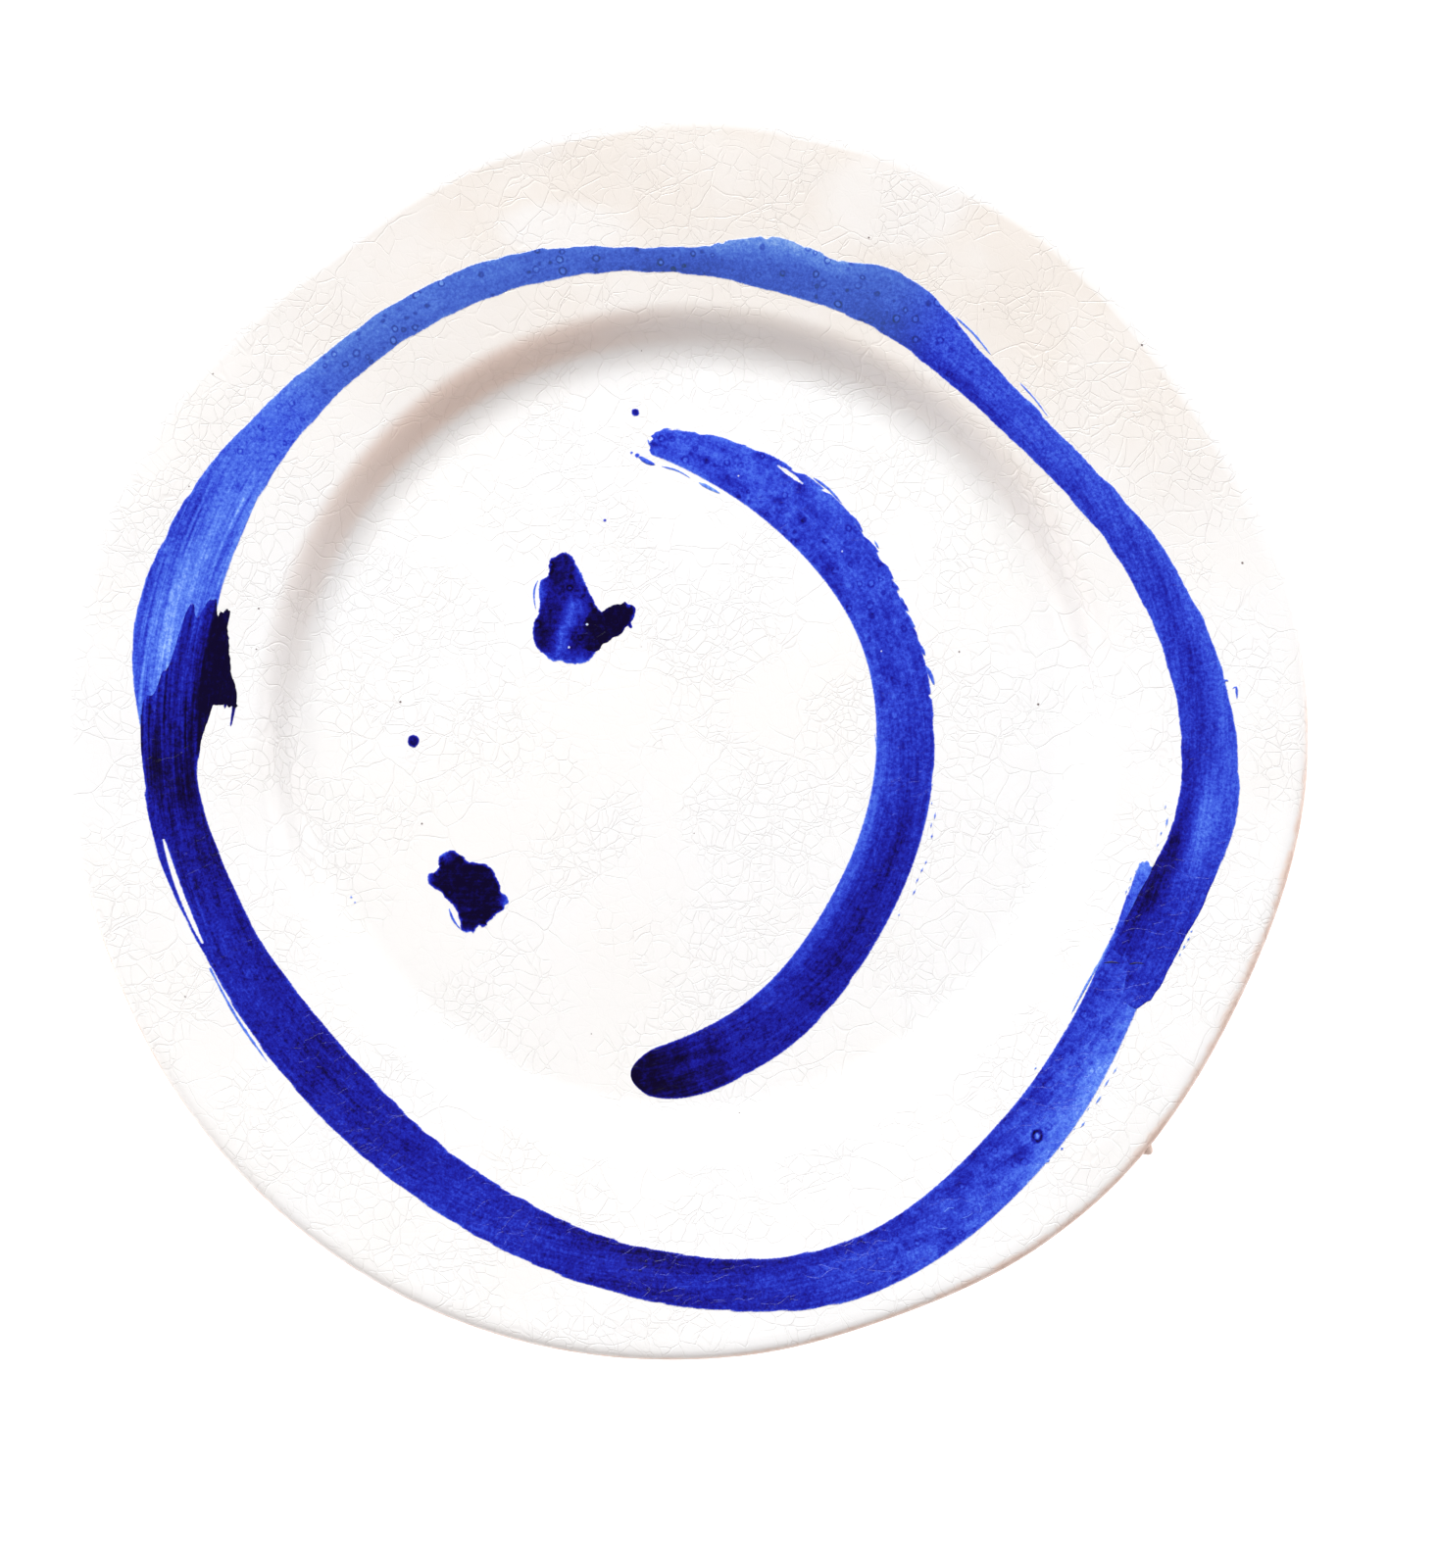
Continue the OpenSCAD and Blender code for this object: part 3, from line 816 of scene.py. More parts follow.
def front_coat(material):
    angles = np.arange(TURNS) * 360 / TURNS
    radii = station_list((1.5, POOL_R - 1, 1.9), (POOL_R - 1, VERGE_R + 2, 0.5),
                         (VERGE_R + 2, LIP_CENTRE_R - 2.4, 1.0),
                         (LIP_CENTRE_R - 2.4, LIP_CENTRE_R - 0.8, 0.4))
    rings = [ring_at(angles, r, SKIN_Z + face_z(r)) for r in radii]
    # the lip's tint of bare clay, laid on its lower side only, is partly painted shade
    bare = [bare_and_shade_at(angles, lip_inset(r)) for r in radii]
    # cream painted shade on the rim's far side, and a cream line at the lip's edge
    wash = [cream_shade_at(angles, r) for r in radii]
    # warm brown painted shade on the verge's steep line
    thin = [painted_verge_shade_at(angles, r) for r in radii]
    for r, up in lip_profile(84, 0, 16, GLAZE_T, LIP_SQUARE):
        rings.append(ring_at(angles, r, LIP_Z + up))
        bare.append(bare_and_shade_at(angles, lip_inset(r)))
        wash.append(lip_edge_cream(angles, lip_inset(r)))
        thin.append(np.zeros(TURNS))
    inner = [(r, LIP_Z + up) for r, up in lip_profile(0, 80, 5, 0)]
    clay_radii = station_list((8, FLOOR_R, 14), (FLOOR_R, VERGE_R, 1.6), (VERGE_R, LIP_CENTRE_R - 1.2, 6))
    inner += [(r, CLAY_FLOOR_Z + clay_face_z(r)) for r in reversed(clay_radii)]
    for r, z in inner:
        rings.append(ring_at(angles, r, z))
        for value in (bare, wash, thin):
            value.append(np.zeros(TURNS))
    shell = Shell()
    turned(shell, rings, (0, 0, float(skin_z(np.array(0.0), np.array(0.0)))), (0, 0, CLAY_FLOOR_Z),
           bare=np.array(bare), wash=np.array(wash), thin=np.array(thin))
    return shell.build("front_coat", material, "glaze", "glaze_front")


def back_coat(material):
    """The back's glaze runs from the lip to an uneven edge beside the foot."""
    angles = np.arange(TURNS) * 360 / TURNS
    # the lip's underside takes the same tint of bare clay and painted shade
    under = [(r, LIP_Z + up, bare_and_shade_at(angles, 1.6 * lip_inset(r)))
             for r, up in lip_profile(0, -84, 14, GLAZE_T, LIP_SQUARE)]
    end_r = FOOT_ROOT_R + 1.2
    radii = station_list((end_r, FLOOR_R, 1.5), (FLOOR_R, VERGE_R, 0.8), (VERGE_R, LIP_CENTRE_R - 1.2, 1.2))
    for r in reversed(radii):
        under.append((r, CLAY_FLOOR_Z + clay_face_z(r) - clay_t(r) - GLAZE_T, np.zeros(TURNS)))
    rings = [ring_at(angles, r, z, front=False) for r, z, _ in under]
    bare = [w for _, _, w in under]
    ragged = 0.45 * turn_noise(angles, 9, 5)
    for share in (0.5, 1.0):
        edge = ring_at(angles, end_r - 0.5 * share, FOOT_H - GLAZE_T * (1 - share ** 2) - 0.01, front=False)
        edge[:, :2] *= (1 + share * ragged / end_r)[:, None]
        rings.append(edge)
        bare.append(np.full(TURNS, 0.3 + 0.6 * share))
    for r in station_list((end_r + 2, FLOOR_R, 4), (FLOOR_R, VERGE_R, 1.6), (VERGE_R, LIP_CENTRE_R - 1.2, 6)):
        rings.append(ring_at(angles, r, CLAY_FLOOR_Z + clay_face_z(r) - clay_t(r) - 0.005, front=False))
        bare.append(np.zeros(TURNS))
    for r, up in lip_profile(-80, 0, 5, 0):
        rings.append(ring_at(angles, r, LIP_Z + up, front=False))
        bare.append(np.zeros(TURNS))
    shell = Shell()
    turned(shell, rings, bare=np.array(bare))
    return shell.build("back_coat", material, "glaze", "glaze_back")


def recess_coat(material):
    """The pool of glaze inside the foot, with a rounded, slightly uneven edge."""
    n = 240
    angles = np.arange(n) * 360 / n
    c, h = unit(angles)
    ragged = 0.35 * (turn_noise(angles, 7, 9) - 1)
    rings, bare = [], []
    for r in station_list((1.5, RECESS_R - 1.5, 2.2), (RECESS_R - 1.5, RECESS_R, 0.3)):
        inset = (RECESS_R - r) / 1.5
        thick = GLAZE_T * math.sqrt(max(0.02, 1 - max(0.0, 1 - inset) ** 2))
        z = FOOT_H - thick + 0.03 * noise(c * r / 9, h * r / 9, 3)
        pull = 1 + ragged / RECESS_R * smooth(1 - inset / 3)
        rings.append(np.stack([r * pull * c, r * pull * h, np.maximum(z, FOOT_H - GLAZE_T)], axis=1))
        bare.append(np.full(n, 0.9 * float(smooth(1 - inset))))
    flat = [np.column_stack([ring[:, :2], np.full(n, FOOT_H)])
            for ring in (rings[-1], rings[len(rings) // 2])]
    rings = flat[::-1] + rings[::-1]
    bare = [np.zeros(n), bare[-1]] + bare[::-1]
    shell = Shell()
    turned(shell, rings, (0, 0, FOOT_H), (0, 0, FOOT_H - GLAZE_T), bare=np.array(bare))
    return shell.build("recess_coat", material, "glaze", "glaze_recess")


def foot(material):
    """The luted foot ring, slightly uneven to the touch, with a rounded standing edge."""
    n = 360
    angles = np.arange(n) * 360 / n
    face_r = FOOT_ROOT_R - FOOT_FLARE
    inner_r = face_r - FOOT_FACE_W
    outside = [(FOOT_ROOT_R - 0.02, FOOT_H)]
    outside += [(FOOT_ROOT_R - FOOT_FLARE * (1 - (1 - t) ** 2), lerp(FOOT_H, FOOT_ROUND, t))
                for t in (0.2, 0.4, 0.6, 0.8, 1.0)]
    outside += [(face_r - FOOT_ROUND + FOOT_ROUND * math.cos(b), FOOT_ROUND - FOOT_ROUND * math.sin(b))
                for b in np.radians([15, 30, 45, 60, 75, 90])]
    face = [(r, 0.0) for r in np.linspace(face_r - FOOT_ROUND - 0.6, inner_r + FOOT_ROUND + 0.6, 6)]
    inside = [(face_r + inner_r - r, z) for r, z in outside[:0:-1]] + [(inner_r - FOOT_FLARE + 0.02, FOOT_H)]
    rings = []
    c, h = unit(angles)
    for r, z in outside + face + inside:
        wall = smooth(min(z, FOOT_H - z) / 1.5)
        dent = 0.22 * wall * (noise(c * 8 + z, h * 8 + r, 21) - 1) / 2
        real = r + (dent if r > (face_r + inner_r) / 2 else -dent)
        rings.append(np.stack([real * c, real * h, np.full(n, z)], axis=1))
    shell = Shell()
    turned(shell, rings)
    return shell.build("foot", material, "clay", "foot_ring")


def glaze_bead(material):
    """The drip that set on the lip: a bead that flows into the coat on both sides."""
    low, high = box_mm("glaze_drip")
    centre = np.array([(a + b) / 2 for a, b in zip(low, high)])
    out = np.array([centre[0], centre[1], 0.0])
    out /= np.linalg.norm(out)
    side = np.array([-out[1], out[0], 0.0])
    r = (high[2] - low[2]) / 2 * 1.1
    n = 28
    rings = []
    for t in np.linspace(0.04, 1, 9):
        reach = math.cos(t * math.pi / 2)
        spread = math.sin(t * math.pi / 2) * (1 + 0.25 * t ** 4)
        a = np.linspace(0, 2 * math.pi, n, endpoint=False)
        along = np.cos(a) * spread * r * 0.92
        up = np.sin(a) * spread * r * 0.92
        depth = reach * r * 1.4 - 0.95
        middle = centre - out * (r * 0.1) + out * depth
        rings.append(middle + along[:, None] * side + up[:, None] * np.array([0, 0, 1.0]))
    tip = centre - out * (r * 0.1) + out * (r * 1.4 - 0.95)
    back = centre - out * (r * 0.1 + 1.25)
    shell = Shell()
    turned(shell, rings, tuple(tip), tuple(back), bare=np.linspace(0.5, 0.85, 9))
    return shell.build("glaze_bead", material, "glaze", "glaze_drip")


# --- Brush strokes ---
def rows_at(rows, at):
    """Smooth curves through rows of a place and its values: each value at every asked place."""
    rows = np.array(rows, float)
    x, y = rows[:, 0], rows[:, 1:]
    slope = np.gradient(y, x, axis=0)
    at = np.clip(np.asarray(at, float), x[0], x[-1])
    i = np.clip(np.searchsorted(x, at) - 1, 0, len(x) - 2)
    h = (x[i + 1] - x[i])[..., None]
    t = (at - x[i])[..., None] / h
    out = (1 + 2 * t) * (1 - t) ** 2 * y[i] + t ** 2 * (3 - 2 * t) * y[i + 1]
    out = out + h * t * (1 - t) ** 2 * slope[i] - h * t ** 2 * (1 - t) * slope[i + 1]
    return np.moveaxis(out, -1, 0)


def bump_at(x, y, cx, cy, rx, ry=None):
    """1 at a place and 0 outside the ellipse around it, with a soft slope."""
    return smooth(1 - np.hypot((x - cx) / rx, (y - cy) / (ry or rx)))


def round_end(half, off_middle, e, cap):
    """Depth inside a round brush end: e is the way in from the tip, cap the length that rounds."""
    t = np.clip(e / cap, 0, 1)
    room = half * np.sqrt(np.clip(1 - (1 - t) ** 2, 0, 1))
    return np.where(e > 0, room - np.abs(off_middle), -0.5)


def across(share, loads, stations):
    """Load across the stroke, from its values at the given shares of the width."""
    out = loads[0]
    for k in range(len(stations) - 1):
        out = lerp(out, loads[k + 1], smooth((share - stations[k]) / (stations[k + 1] - stations[k])))
    return out


def ring_place(s, v):
    c, h = unit(s)
    return v * c, v * h


def bristles(s_mm, v, seed, wide=0.9, long=26.0):
    """Streaks that run along the stroke: many narrow lanes, each fading in and out."""
    lanes = noise(s_mm / long, v / wide, seed) + 0.6 * noise(s_mm / (long * 0.45), v / (wide * 0.5), seed + 1)
    return lanes / 1.3


# Each ring stroke, at the directions where its course or its tone turns: inner and outer radius,
# and the load inside, midway and outside
UPPER_RING = [(-32, 99.5, 111.5, 0.55, 0.6, 0.6), (-22, 99.5, 112.5, 0.85, 0.7, 0.65),
              (-7, 103.5, 116, 0.75, 0.5, 0.5), (3, 102.5, 114, 0.6, 0.65, 0.5),
              (20, 98, 107.5, 0.6, 0.6, 0.5), (38, 92.5, 100.5, 0.6, 0.5, 0.45),
              (52, 91.5, 101, 0.65, 0.5, 0.5), (65, 93.5, 106.5, 0.6, 0.5, 0.45),
              (73, 94, 104.5, 0.55, 0.5, 0.4), (79, 94.5, 106, 0.5, 0.45, 0.35),
              (88, 96, 102.5, 0.6, 0.5, 0.4), (112, 100, 107.5, 0.45, 0.4, 0.4),
              (138, 102, 111, 0.45, 0.4, 0.3), (158, 102, 116.5, 0.35, 0.3, 0.5),
              (168, 101.5, 118, 0.45, 0.15, 0.45), (182, 104.5, 113, 0.5, 0.4, 0.45)]
LOWER_RING = [(163, 99, 114, 0.85, 0.65, 0.6), (176, 99, 114, 0.9, 0.8, 0.75),
              (182, 102, 114, 0.95, 0.9, 0.85), (195, 100.5, 113, 0.85, 0.8, 0.75),
              (204, 99, 111, 0.8, 0.75, 0.7), (224, 97, 110.5, 0.8, 0.8, 0.75),
              (242, 100.5, 112.5, 0.7, 0.7, 0.65), (270, 108.5, 119.5, 0.85, 0.7, 0.8),
              (285, 111, 123, 0.7, 0.6, 0.65), (310, 103.5, 117, 0.6, 0.5, 0.4),
              (328, 99, 110.5, 0.6, 0.5, 0.4), (336, 98, 108.5, 0.55, 0.55, 0.55),
              (345, 98, 106, 0.25, 0.45, 0.6)]
# Where the lower ring stroke's bristles first touch: the direction at each radius
LOWER_START = [(93, 165), (99.6, 164.9), (101.4, 165.3), (102.2, 163.9), (103.2, 163.7),
               (104.2, 164.9), (105, 166.1), (107.9, 166.9), (108.5, 170), (109.2, 172.1),
               (110.4, 173.1), (111.4, 174.9), (113.8, 176.4), (115, 179)]
# The thick navy touch inside the lower ring stroke's start: its inner radius by direction
TOUCH = [(164.5, 99.8), (166.5, 98.8), (168.5, 97.6), (170.5, 96.9), (172, 96.2), (174, 95),
         (176.4, 94.3)]
TOUCH_ENDS = (165.2, 176.3)
UPPER_ENDS = (-31.5, 182)   # first and last direction of each ring stroke
LOWER_ENDS = (163, 344.5)
GAP_ENDS = (191, 203.5)     # where the lower ring stroke's outermost bristles ran apart from the rest
RING_R = 105                # about the ring strokes' middle, for lengths along them
RING_BAND = (90, 125)       # the radii between which their grid lies
LAP_LEFT = 174
LAP_RIGHT = 330


def stroke_edge(a, r, seed, rough=1.0):
    """Small wander of a stroke's edge along its length, in millimetres."""
    s = np.radians(a) * r
    return rough * (0.22 * noise(s / 3.6, seed, seed) + 0.07 * noise(s / 1.1, seed, seed + 3))


def ring_stroke(rows, start, end, cap_start, combed, seed, details):
    """One ring stroke as a film, with its streaks; details adds its own marks."""
    shell = Shell()
    s = np.arange(start - 1, end + 1, GRID)
    v = np.arange(*RING_BAND, GRID)
    a, r = np.meshgrid(s, v, indexing="ij")
    inner, outer, load_in, load_mid, load_out = rows_at(rows, s)[:, :, None]
    s_mm = np.radians(a) * RING_R
    depth_in = r - inner + stroke_edge(a, r, seed)
    depth_out = outer - r + stroke_edge(a, r, seed + 7)
    share = (r - inner) / (outer - inner)
    comb = combed * (0.9 * noise(v / 0.8, 0.5, seed + 9) + 0.5 * noise(v / 0.4, 0.5, seed + 10))
    begin = cap_start(r)
    e_start = np.radians(a - begin) * r + comb
    e_end = np.radians(end - a) * r + comb
    depth = np.minimum(np.minimum(depth_in, depth_out), np.minimum(e_start, e_end))
    load = across(share, [load_in, load_mid, load_out], [0.12, 0.5, 0.88])
    load = load + 0.045 * bristles(s_mm, r, seed + 20) + 0.045 * noise(s_mm / 6, r / 5, seed + 22)
    depth, load, lift, bubbly = details(a, r, share, s_mm, depth, load)
    film(shell, ring_place, s, v, depth, np.clip(load, 0, LOAD_TOP), lift, True,
         math.radians(RING_R), bubbly)
    return shell


def upper_details(a, r, share, s_mm, depth, load):
    """Feathered and bubbled at the top, pale and streaked on the left, lapped over the lower stroke."""
    feather = smooth((a - 66) / 8) * smooth((91 - a) / 6)
    fray = np.clip(noise(s_mm / 1.3, r / 2.4 + s_mm / 6, 33), 0, 1)
    depth = depth - feather * smooth((share - 0.7) / 0.3) * fray * 0.7
    load = load - 0.20 * feather * smooth((share - 0.5) / 0.5)
    streaky = smooth((a - 142) / 14)
    load = load + 0.15 * streaky * bristles(s_mm, r, 35, 0.5, 18)
    load = load - 0.10 * bump_at(a, share, -10, 0.5, 9, 0.35) + 0.10 * bump_at(a, share, -2, 0.45, 7, 0.3)
    load = load + 0.16 * bump_at(a, r, 151, 107, 1.0, 1.8)
    load = load + 0.18 * bump_at(a, r, -28.8, 105, 1.6, 3.2) + 0.06 * bump_at(a, share, -14, 0.25, 14, 0.35)
    lift = LAP_LIFT * smooth((LAP_RIGHT + 16 - 360 - a) / 2)
    bubbly = smooth((a - 42) / 28) * smooth((162 - a) / 36)
    return depth, load, lift, bubbly


def lower_details(a, r, share, s_mm, depth, load):
    """The combed, navy start on the left, cloudy paint lower right and a large burst bubble."""
    jagged = stroke_edge(a, r, 55, 2.0) + 0.4 * noise(a / 0.4, 0.5, 58)
    touch = np.minimum(r - rows_at(TOUCH, a[:, 0])[0][:, None] + jagged, 101 - r)
    comb = 0.5 * noise(r / 0.7, 0.5, 57)
    for end, side in zip(TOUCH_ENDS, (1, -1)):
        touch = np.minimum(touch, np.radians(a - end) * side * r + comb)
    depth = np.maximum(depth, touch)
    load = load + 0.22 * smooth((103.5 - r) / 3) * smooth((178 - a) / 2)
    streaky = smooth((192 - a) / 16)
    load = load + 0.17 * streaky * bristles(s_mm, r, 41, 0.5, 16) * smooth((r - 100) / 3)
    load = load - 0.14 * bump_at(a, share, 318, 0.95, 14, 0.4)
    cloudy = smooth((a - 280) / 15)
    load = load + cloudy * (0.07 * noise(s_mm / 3.2, r / 2.0, 47) + 0.05 * noise(s_mm / 1.2, r / 1.0, 48))
    x, y = ring_place(a, r)
    off = np.hypot((x - 73.2) * 1.15, y + 83.8)
    load = np.where(off < 1.8, lerp(load, 0.98, smooth(1 - np.abs(off - 1.05) / 0.7)), load)
    load = np.where(off < 0.42, 0.2, load)
    load = load + 0.26 * bump_at(a, r, 308.6, 112, 2.3, 2.4) + 0.16 * bump_at(a, r, 306, 111, 2.5, 2)
    run = np.clip((a - GAP_ENDS[0]) / (GAP_ENDS[1] - GAP_ENDS[0]), 0, 1)
    gap = 0.5 * np.sqrt(np.sin(math.pi * run)) - 0.04 - np.abs(r - lerp(111.5, 110.1, run))
    depth = np.where((run > 0) & (run < 1), np.minimum(depth, -gap), depth)
    lift = LAP_LIFT * smooth((LAP_LEFT + 9 - a) / 4)
    return depth, load, lift, 0.35 * cloudy


def flecks(shell, points, seed, spacing=2.4, size=0.22, load=0.22):
    """A broken row of short touches left by stray bristles beside a stroke."""
    path = curve_points(points, spacing)
    for k, (x, y) in enumerate(path[:-1]):
        way = path[k + 1] - path[k]
        pick = float(hash01(np.array(k), np.array(seed), 7))
        if pick < 0.25:
            continue
        off = np.array([-way[1], way[0]]) / max(float(np.linalg.norm(way)), 1e-6) * (pick - 0.6) * 1.3
        start = np.array([x, y]) + off
        end = start + way * (0.3 + 0.5 * pick)
        hair(shell, [tuple(start), tuple(end)], size * (0.7 + 0.5 * pick), load)


def upper_start(r):
    """The direction in which the upper ring stroke begins, later on its inner side."""
    return UPPER_ENDS[0] + 4.5 * smooth((107 - r) / 4) + 1.6 * smooth((r - 109.5) / 2)


def lower_start(r):
    return rows_at(LOWER_START, r)[0]


def upper_ring(material):
    shell = ring_stroke(UPPER_RING, *UPPER_ENDS, upper_start, combed=0.35, seed=100, details=upper_details)
    hairs = [([(56, 87.5), (60, 83.8), (63.5, 79.5)], 0.32, 0.30),
             ([(69.5, 73.7), (72.5, 70.5), (75.5, 66.5)], 0.25, 0.35),
             ([(111.6, 9.5), (112.4, 11.4), (113.2, 11.2)], 0.35, 0.5),
             ([(113.9, 9.6), (114.7, 10), (114.9, 7.5)], 0.3, 0.45)]
    for points, half_w, load in hairs:
        hair(shell, points, half_w, load)
    dark_lines = [[(87.1, -47.6), (88.8, -47.4), (90.5, -47.7)], [(92.3, -47.9), (94, -47.6), (95.6, -47.8)]]
    for points in dark_lines:
        hair(shell, points, 0.16, 0.95, lift=OVER_LAP)
    flecks(shell, [(100.4, -14.5), (99.6, -20), (98.2, -24.5)], 3)
    return shell.build("ring_upper", material, "cobalt", "ring_stroke_upper")


def lower_ring(material):
    shell = ring_stroke(LOWER_RING, *LOWER_ENDS, lower_start, combed=0.8, seed=200, details=lower_details)
    hairs = [([(-99.7, -48.6), (-94.2, -58.8), (-87.6, -68.4)], 0.36, 0.3),
             ([(-94.4, 8), (-94.9, 4.5), (-95.4, 1.8)], 0.42, 0.95),
             ([(-96.2, 8.5), (-96.6, 5.5)], 0.4, 0.95),
             ([(88.2, -43.7), (86.8, -46.4), (83.7, -51.9), (80.3, -58.3)], 0.34, 0.25)]
    for points, half_w, load in hairs:
        hair(shell, points, half_w, load, blunt=0.8)
    scratches = [[(53.6, -99.8), (54.8, -98.8), (56, -98.9)], [(57.2, -101), (58.6, -100.6), (59.9, -99.7)],
                 [(60.9, -97.6), (61.5, -98.9), (61.2, -99.9)],
                 [(51.5, -102.7), (53, -103.2), (54.6, -102.9)]]
    for points in scratches:
        hair(shell, points, 0.12, 0.38, lift=OVER_FILM)
    flecks(shell, [(94.2, -28), (92.3, -32.1), (90.5, -38.2), (88.2, -41.6)], 11)
    flecks(shell, [(93, -31.5), (91.4, -36.5), (89.4, -42)], 19)
    flecks(shell, [(105.6, -40.6), (103.9, -43.5), (102.4, -46.8)], 23)
    flecks(shell, [(89.8, -69.1), (86.4, -75), (82.9, -80.3), (80.5, -83.5)], 29)
    flecks(shell, [(78.6, -86), (75.9, -88.6), (71.5, -92.6)], 31, 1.8, 0.32, 0.3)
    flecks(shell, [(74.8, -66.6), (73.4, -69.4), (71.4, -72.4)], 33, 1.6, 0.3, 0.25)
    return shell.build("ring_lower", material, "cobalt", "ring_stroke_lower")


# The arc in the well: its centre, then by direction its inner and outer radius and four loads across
ARC_CENTRE = (-21.0, -4.5)
ARC_R = 68                  # about its middle, for lengths along it
ARC_BAND = (56, 77)         # the radii between which its grid lies
ARC_STEP = 0.2              # the grid's spacing, in degrees along and millimetres across
ARC_START = -82.2
ARC_END = 78.5
ARC_ROWS = [(-84, 63, 70.5, 0.9, 0.95, 0.95, 0.9), (-76, 62, 74, 0.85, 0.9, 0.9, 0.9),
            (-60, 61, 74.5, 0.7, 0.8, 0.8, 0.8), (-30, 58.5, 72, 0.55, 0.75, 0.8, 0.75),
            (0, 60, 73, 0.5, 0.6, 0.65, 0.65), (20, 61.5, 74, 0.55, 0.55, 0.55, 0.55),
            (52, 61.5, 75, 0.55, 0.55, 0.5, 0.5), (66, 62.5, 73, 0.5, 0.55, 0.45, 0.5),
            (80, 64.5, 70.5, 0.45, 0.5, 0.45, 0.4)]


def arc_place(s, v):
    c, h = unit(s)
    return ARC_CENTRE[0] + v * c, ARC_CENTRE[1] + v * h


def arc(material):
    """The broad arc: mottled at the top, banded crosswise below, navy where the brush stopped."""
    shell = Shell()
    s = np.arange(ARC_START - 1, ARC_END + 1, ARC_STEP)
    v = np.arange(*ARC_BAND, ARC_STEP)
    a, r = np.meshgrid(s, v, indexing="ij")
    inner, outer, *loads = rows_at(ARC_ROWS, s)[:, :, None]
    share = (r - inner) / (outer - inner)
    mid, half = (inner + outer) / 2, (outer - inner) / 2
    s_mm = np.radians(a) * ARC_R
    comb = 1.0 * noise(v / 1.3, 0.5, 61) + 0.5 * noise(v / 0.5, 0.5, 62)
    depth = np.minimum(r - inner + stroke_edge(a, r, 310), outer - r + stroke_edge(a, r, 320, 1.5))
    start_e = np.radians(a - ARC_START) * r
    end_e = np.radians(ARC_END - a) * r + comb * 0.9
    depth = np.minimum(depth, round_end(half, r - mid - 0.4, start_e, 6.5))
    depth = np.minimum(depth, round_end(half + 0.4, r - mid + 0.5, end_e, 3.0))
    rough = smooth((a - 18) / 10) * smooth((share - 0.72) / 0.2)
    depth = depth - rough * np.clip(noise(s_mm / 1.5 + r / 1.1, r / 1.5, 68), 0, 1) * 0.9
    slit = np.abs(r - 72.9) - 0.32 * smooth((a - 51.5) / 2) * smooth((57 - a) / 2)
    depth = np.where((slit < 0.3) & (a > 51.5) & (a < 57), np.minimum(depth, slit), depth)
    load = across(share, loads, [0.12, 0.35, 0.6, 0.85])
    upper, lower = smooth((a + 5) / 25), smooth((-20 - a) / 25)
    load = load + 0.05 * bristles(s_mm, r, 63, 1.1, 22)
    load = load + upper * (0.07 * noise(s_mm / 4.5, r / 3.5, 65) + 0.05 * noise(s_mm / 1.8, r / 1.8, 66))
    load = load + lower * 0.06 * noise(s_mm / 2.2, r / 9 + s_mm / 40, 67)
    load = load + 0.10 * bump_at(a, share, -15, 0.68, 12, 0.16)
    load = load - 0.09 * bump_at(a, share, -18, 0.10, 26, 0.2)
    load = load + 0.10 * smooth(1 - start_e / 12)
    blotches = np.clip(noise(s_mm / 3.0, r / 2.4, 69) - 0.35, 0, 1) * smooth((a - 5) / 20)
    load = load + 0.22 * blotches
    notch = bump_at(a + (r - 73) * 0.4, r, 10.0, 74.2, 0.8, 1.9)
    depth = np.where(notch > 0.15, np.minimum(depth, 0.4 - 2 * notch), depth)
    film(shell, arc_place, s, v, depth, np.clip(load, 0, LOAD_TOP), 0.0, True,
         math.radians(ARC_R), 0.5 * upper)
    hairs = [([(-8.2, 61.9), (-7.4, 60.6), (-5.6, 60.4)], 0.32, 0.45),
             ([(26.5, 53.9), (29.8, 51.4), (32.5, 48.4)], 0.35, 0.4),
             ([(33.2, 46.5), (35.2, 44.8), (36.8, 42.5)], 0.55, 0.5),
             ([(35.8, 42.4), (37.8, 40.2), (39.5, 37.6)], 0.5, 0.45), ([(39.2, 40.8), (40.2, 39)], 0.25, 0.3),
             ([(39.4, 34.6), (41.4, 33.4), (43.1, 31.7)], 0.5, 0.45),
             ([(44.6, 26.6), (46.2, 24.8), (47.8, 22.4)], 0.45, 0.45),
             ([(44.6, 29), (45.6, 27.6)], 0.3, 0.4), ([(48, 19.4), (49, 18.2), (49.9, 16.6)], 0.45, 0.45),
             ([(50, 14.5), (51, 12.6), (51.8, 10.4)], 0.45, 0.4),
             ([(-10.2, 58.5), (-8.6, 57.4), (-6.6, 56.6)], 0.5, 0.45),
             ([(-5.3, 56.3), (-2, 55.4), (0.8, 53.8)], 0.26, 0.35),
             ([(2.5, 52.9), (4.5, 51.9), (7, 50.6)], 0.4, 0.22),
             ([(39.3, 0.5), (39.7, -2.5), (39.5, -6)], 0.2, 0.3)]
    for points, half_w, load in hairs:
        hair(shell, points, half_w, load, blunt=0.5)
    flecks(shell, [(51.8, -10), (51.6, -16), (50.6, -22)], 41, 1.8, 0.2, 0.35)
    flecks(shell, [(50, -26), (47.5, -32), (44, -38.5)], 43, 1.7, 0.22, 0.35)
    dot(shell, -11.6, 59.2, 0.35, 0.4)
    dot(shell, -10.4, 58.6, 0.55, 0.5, 4)
    dot(shell, -7.6, 61.4, 0.3, 0.4, 5)
    for x, y in ((10.8, 54.3), (32.5, 38.5), (40.7, 17.6)):
        dot(shell, x, y, 0.17, 0.15, lift=OVER_FILM)
    return shell.build("arc", material, "cobalt", "arc_stroke")


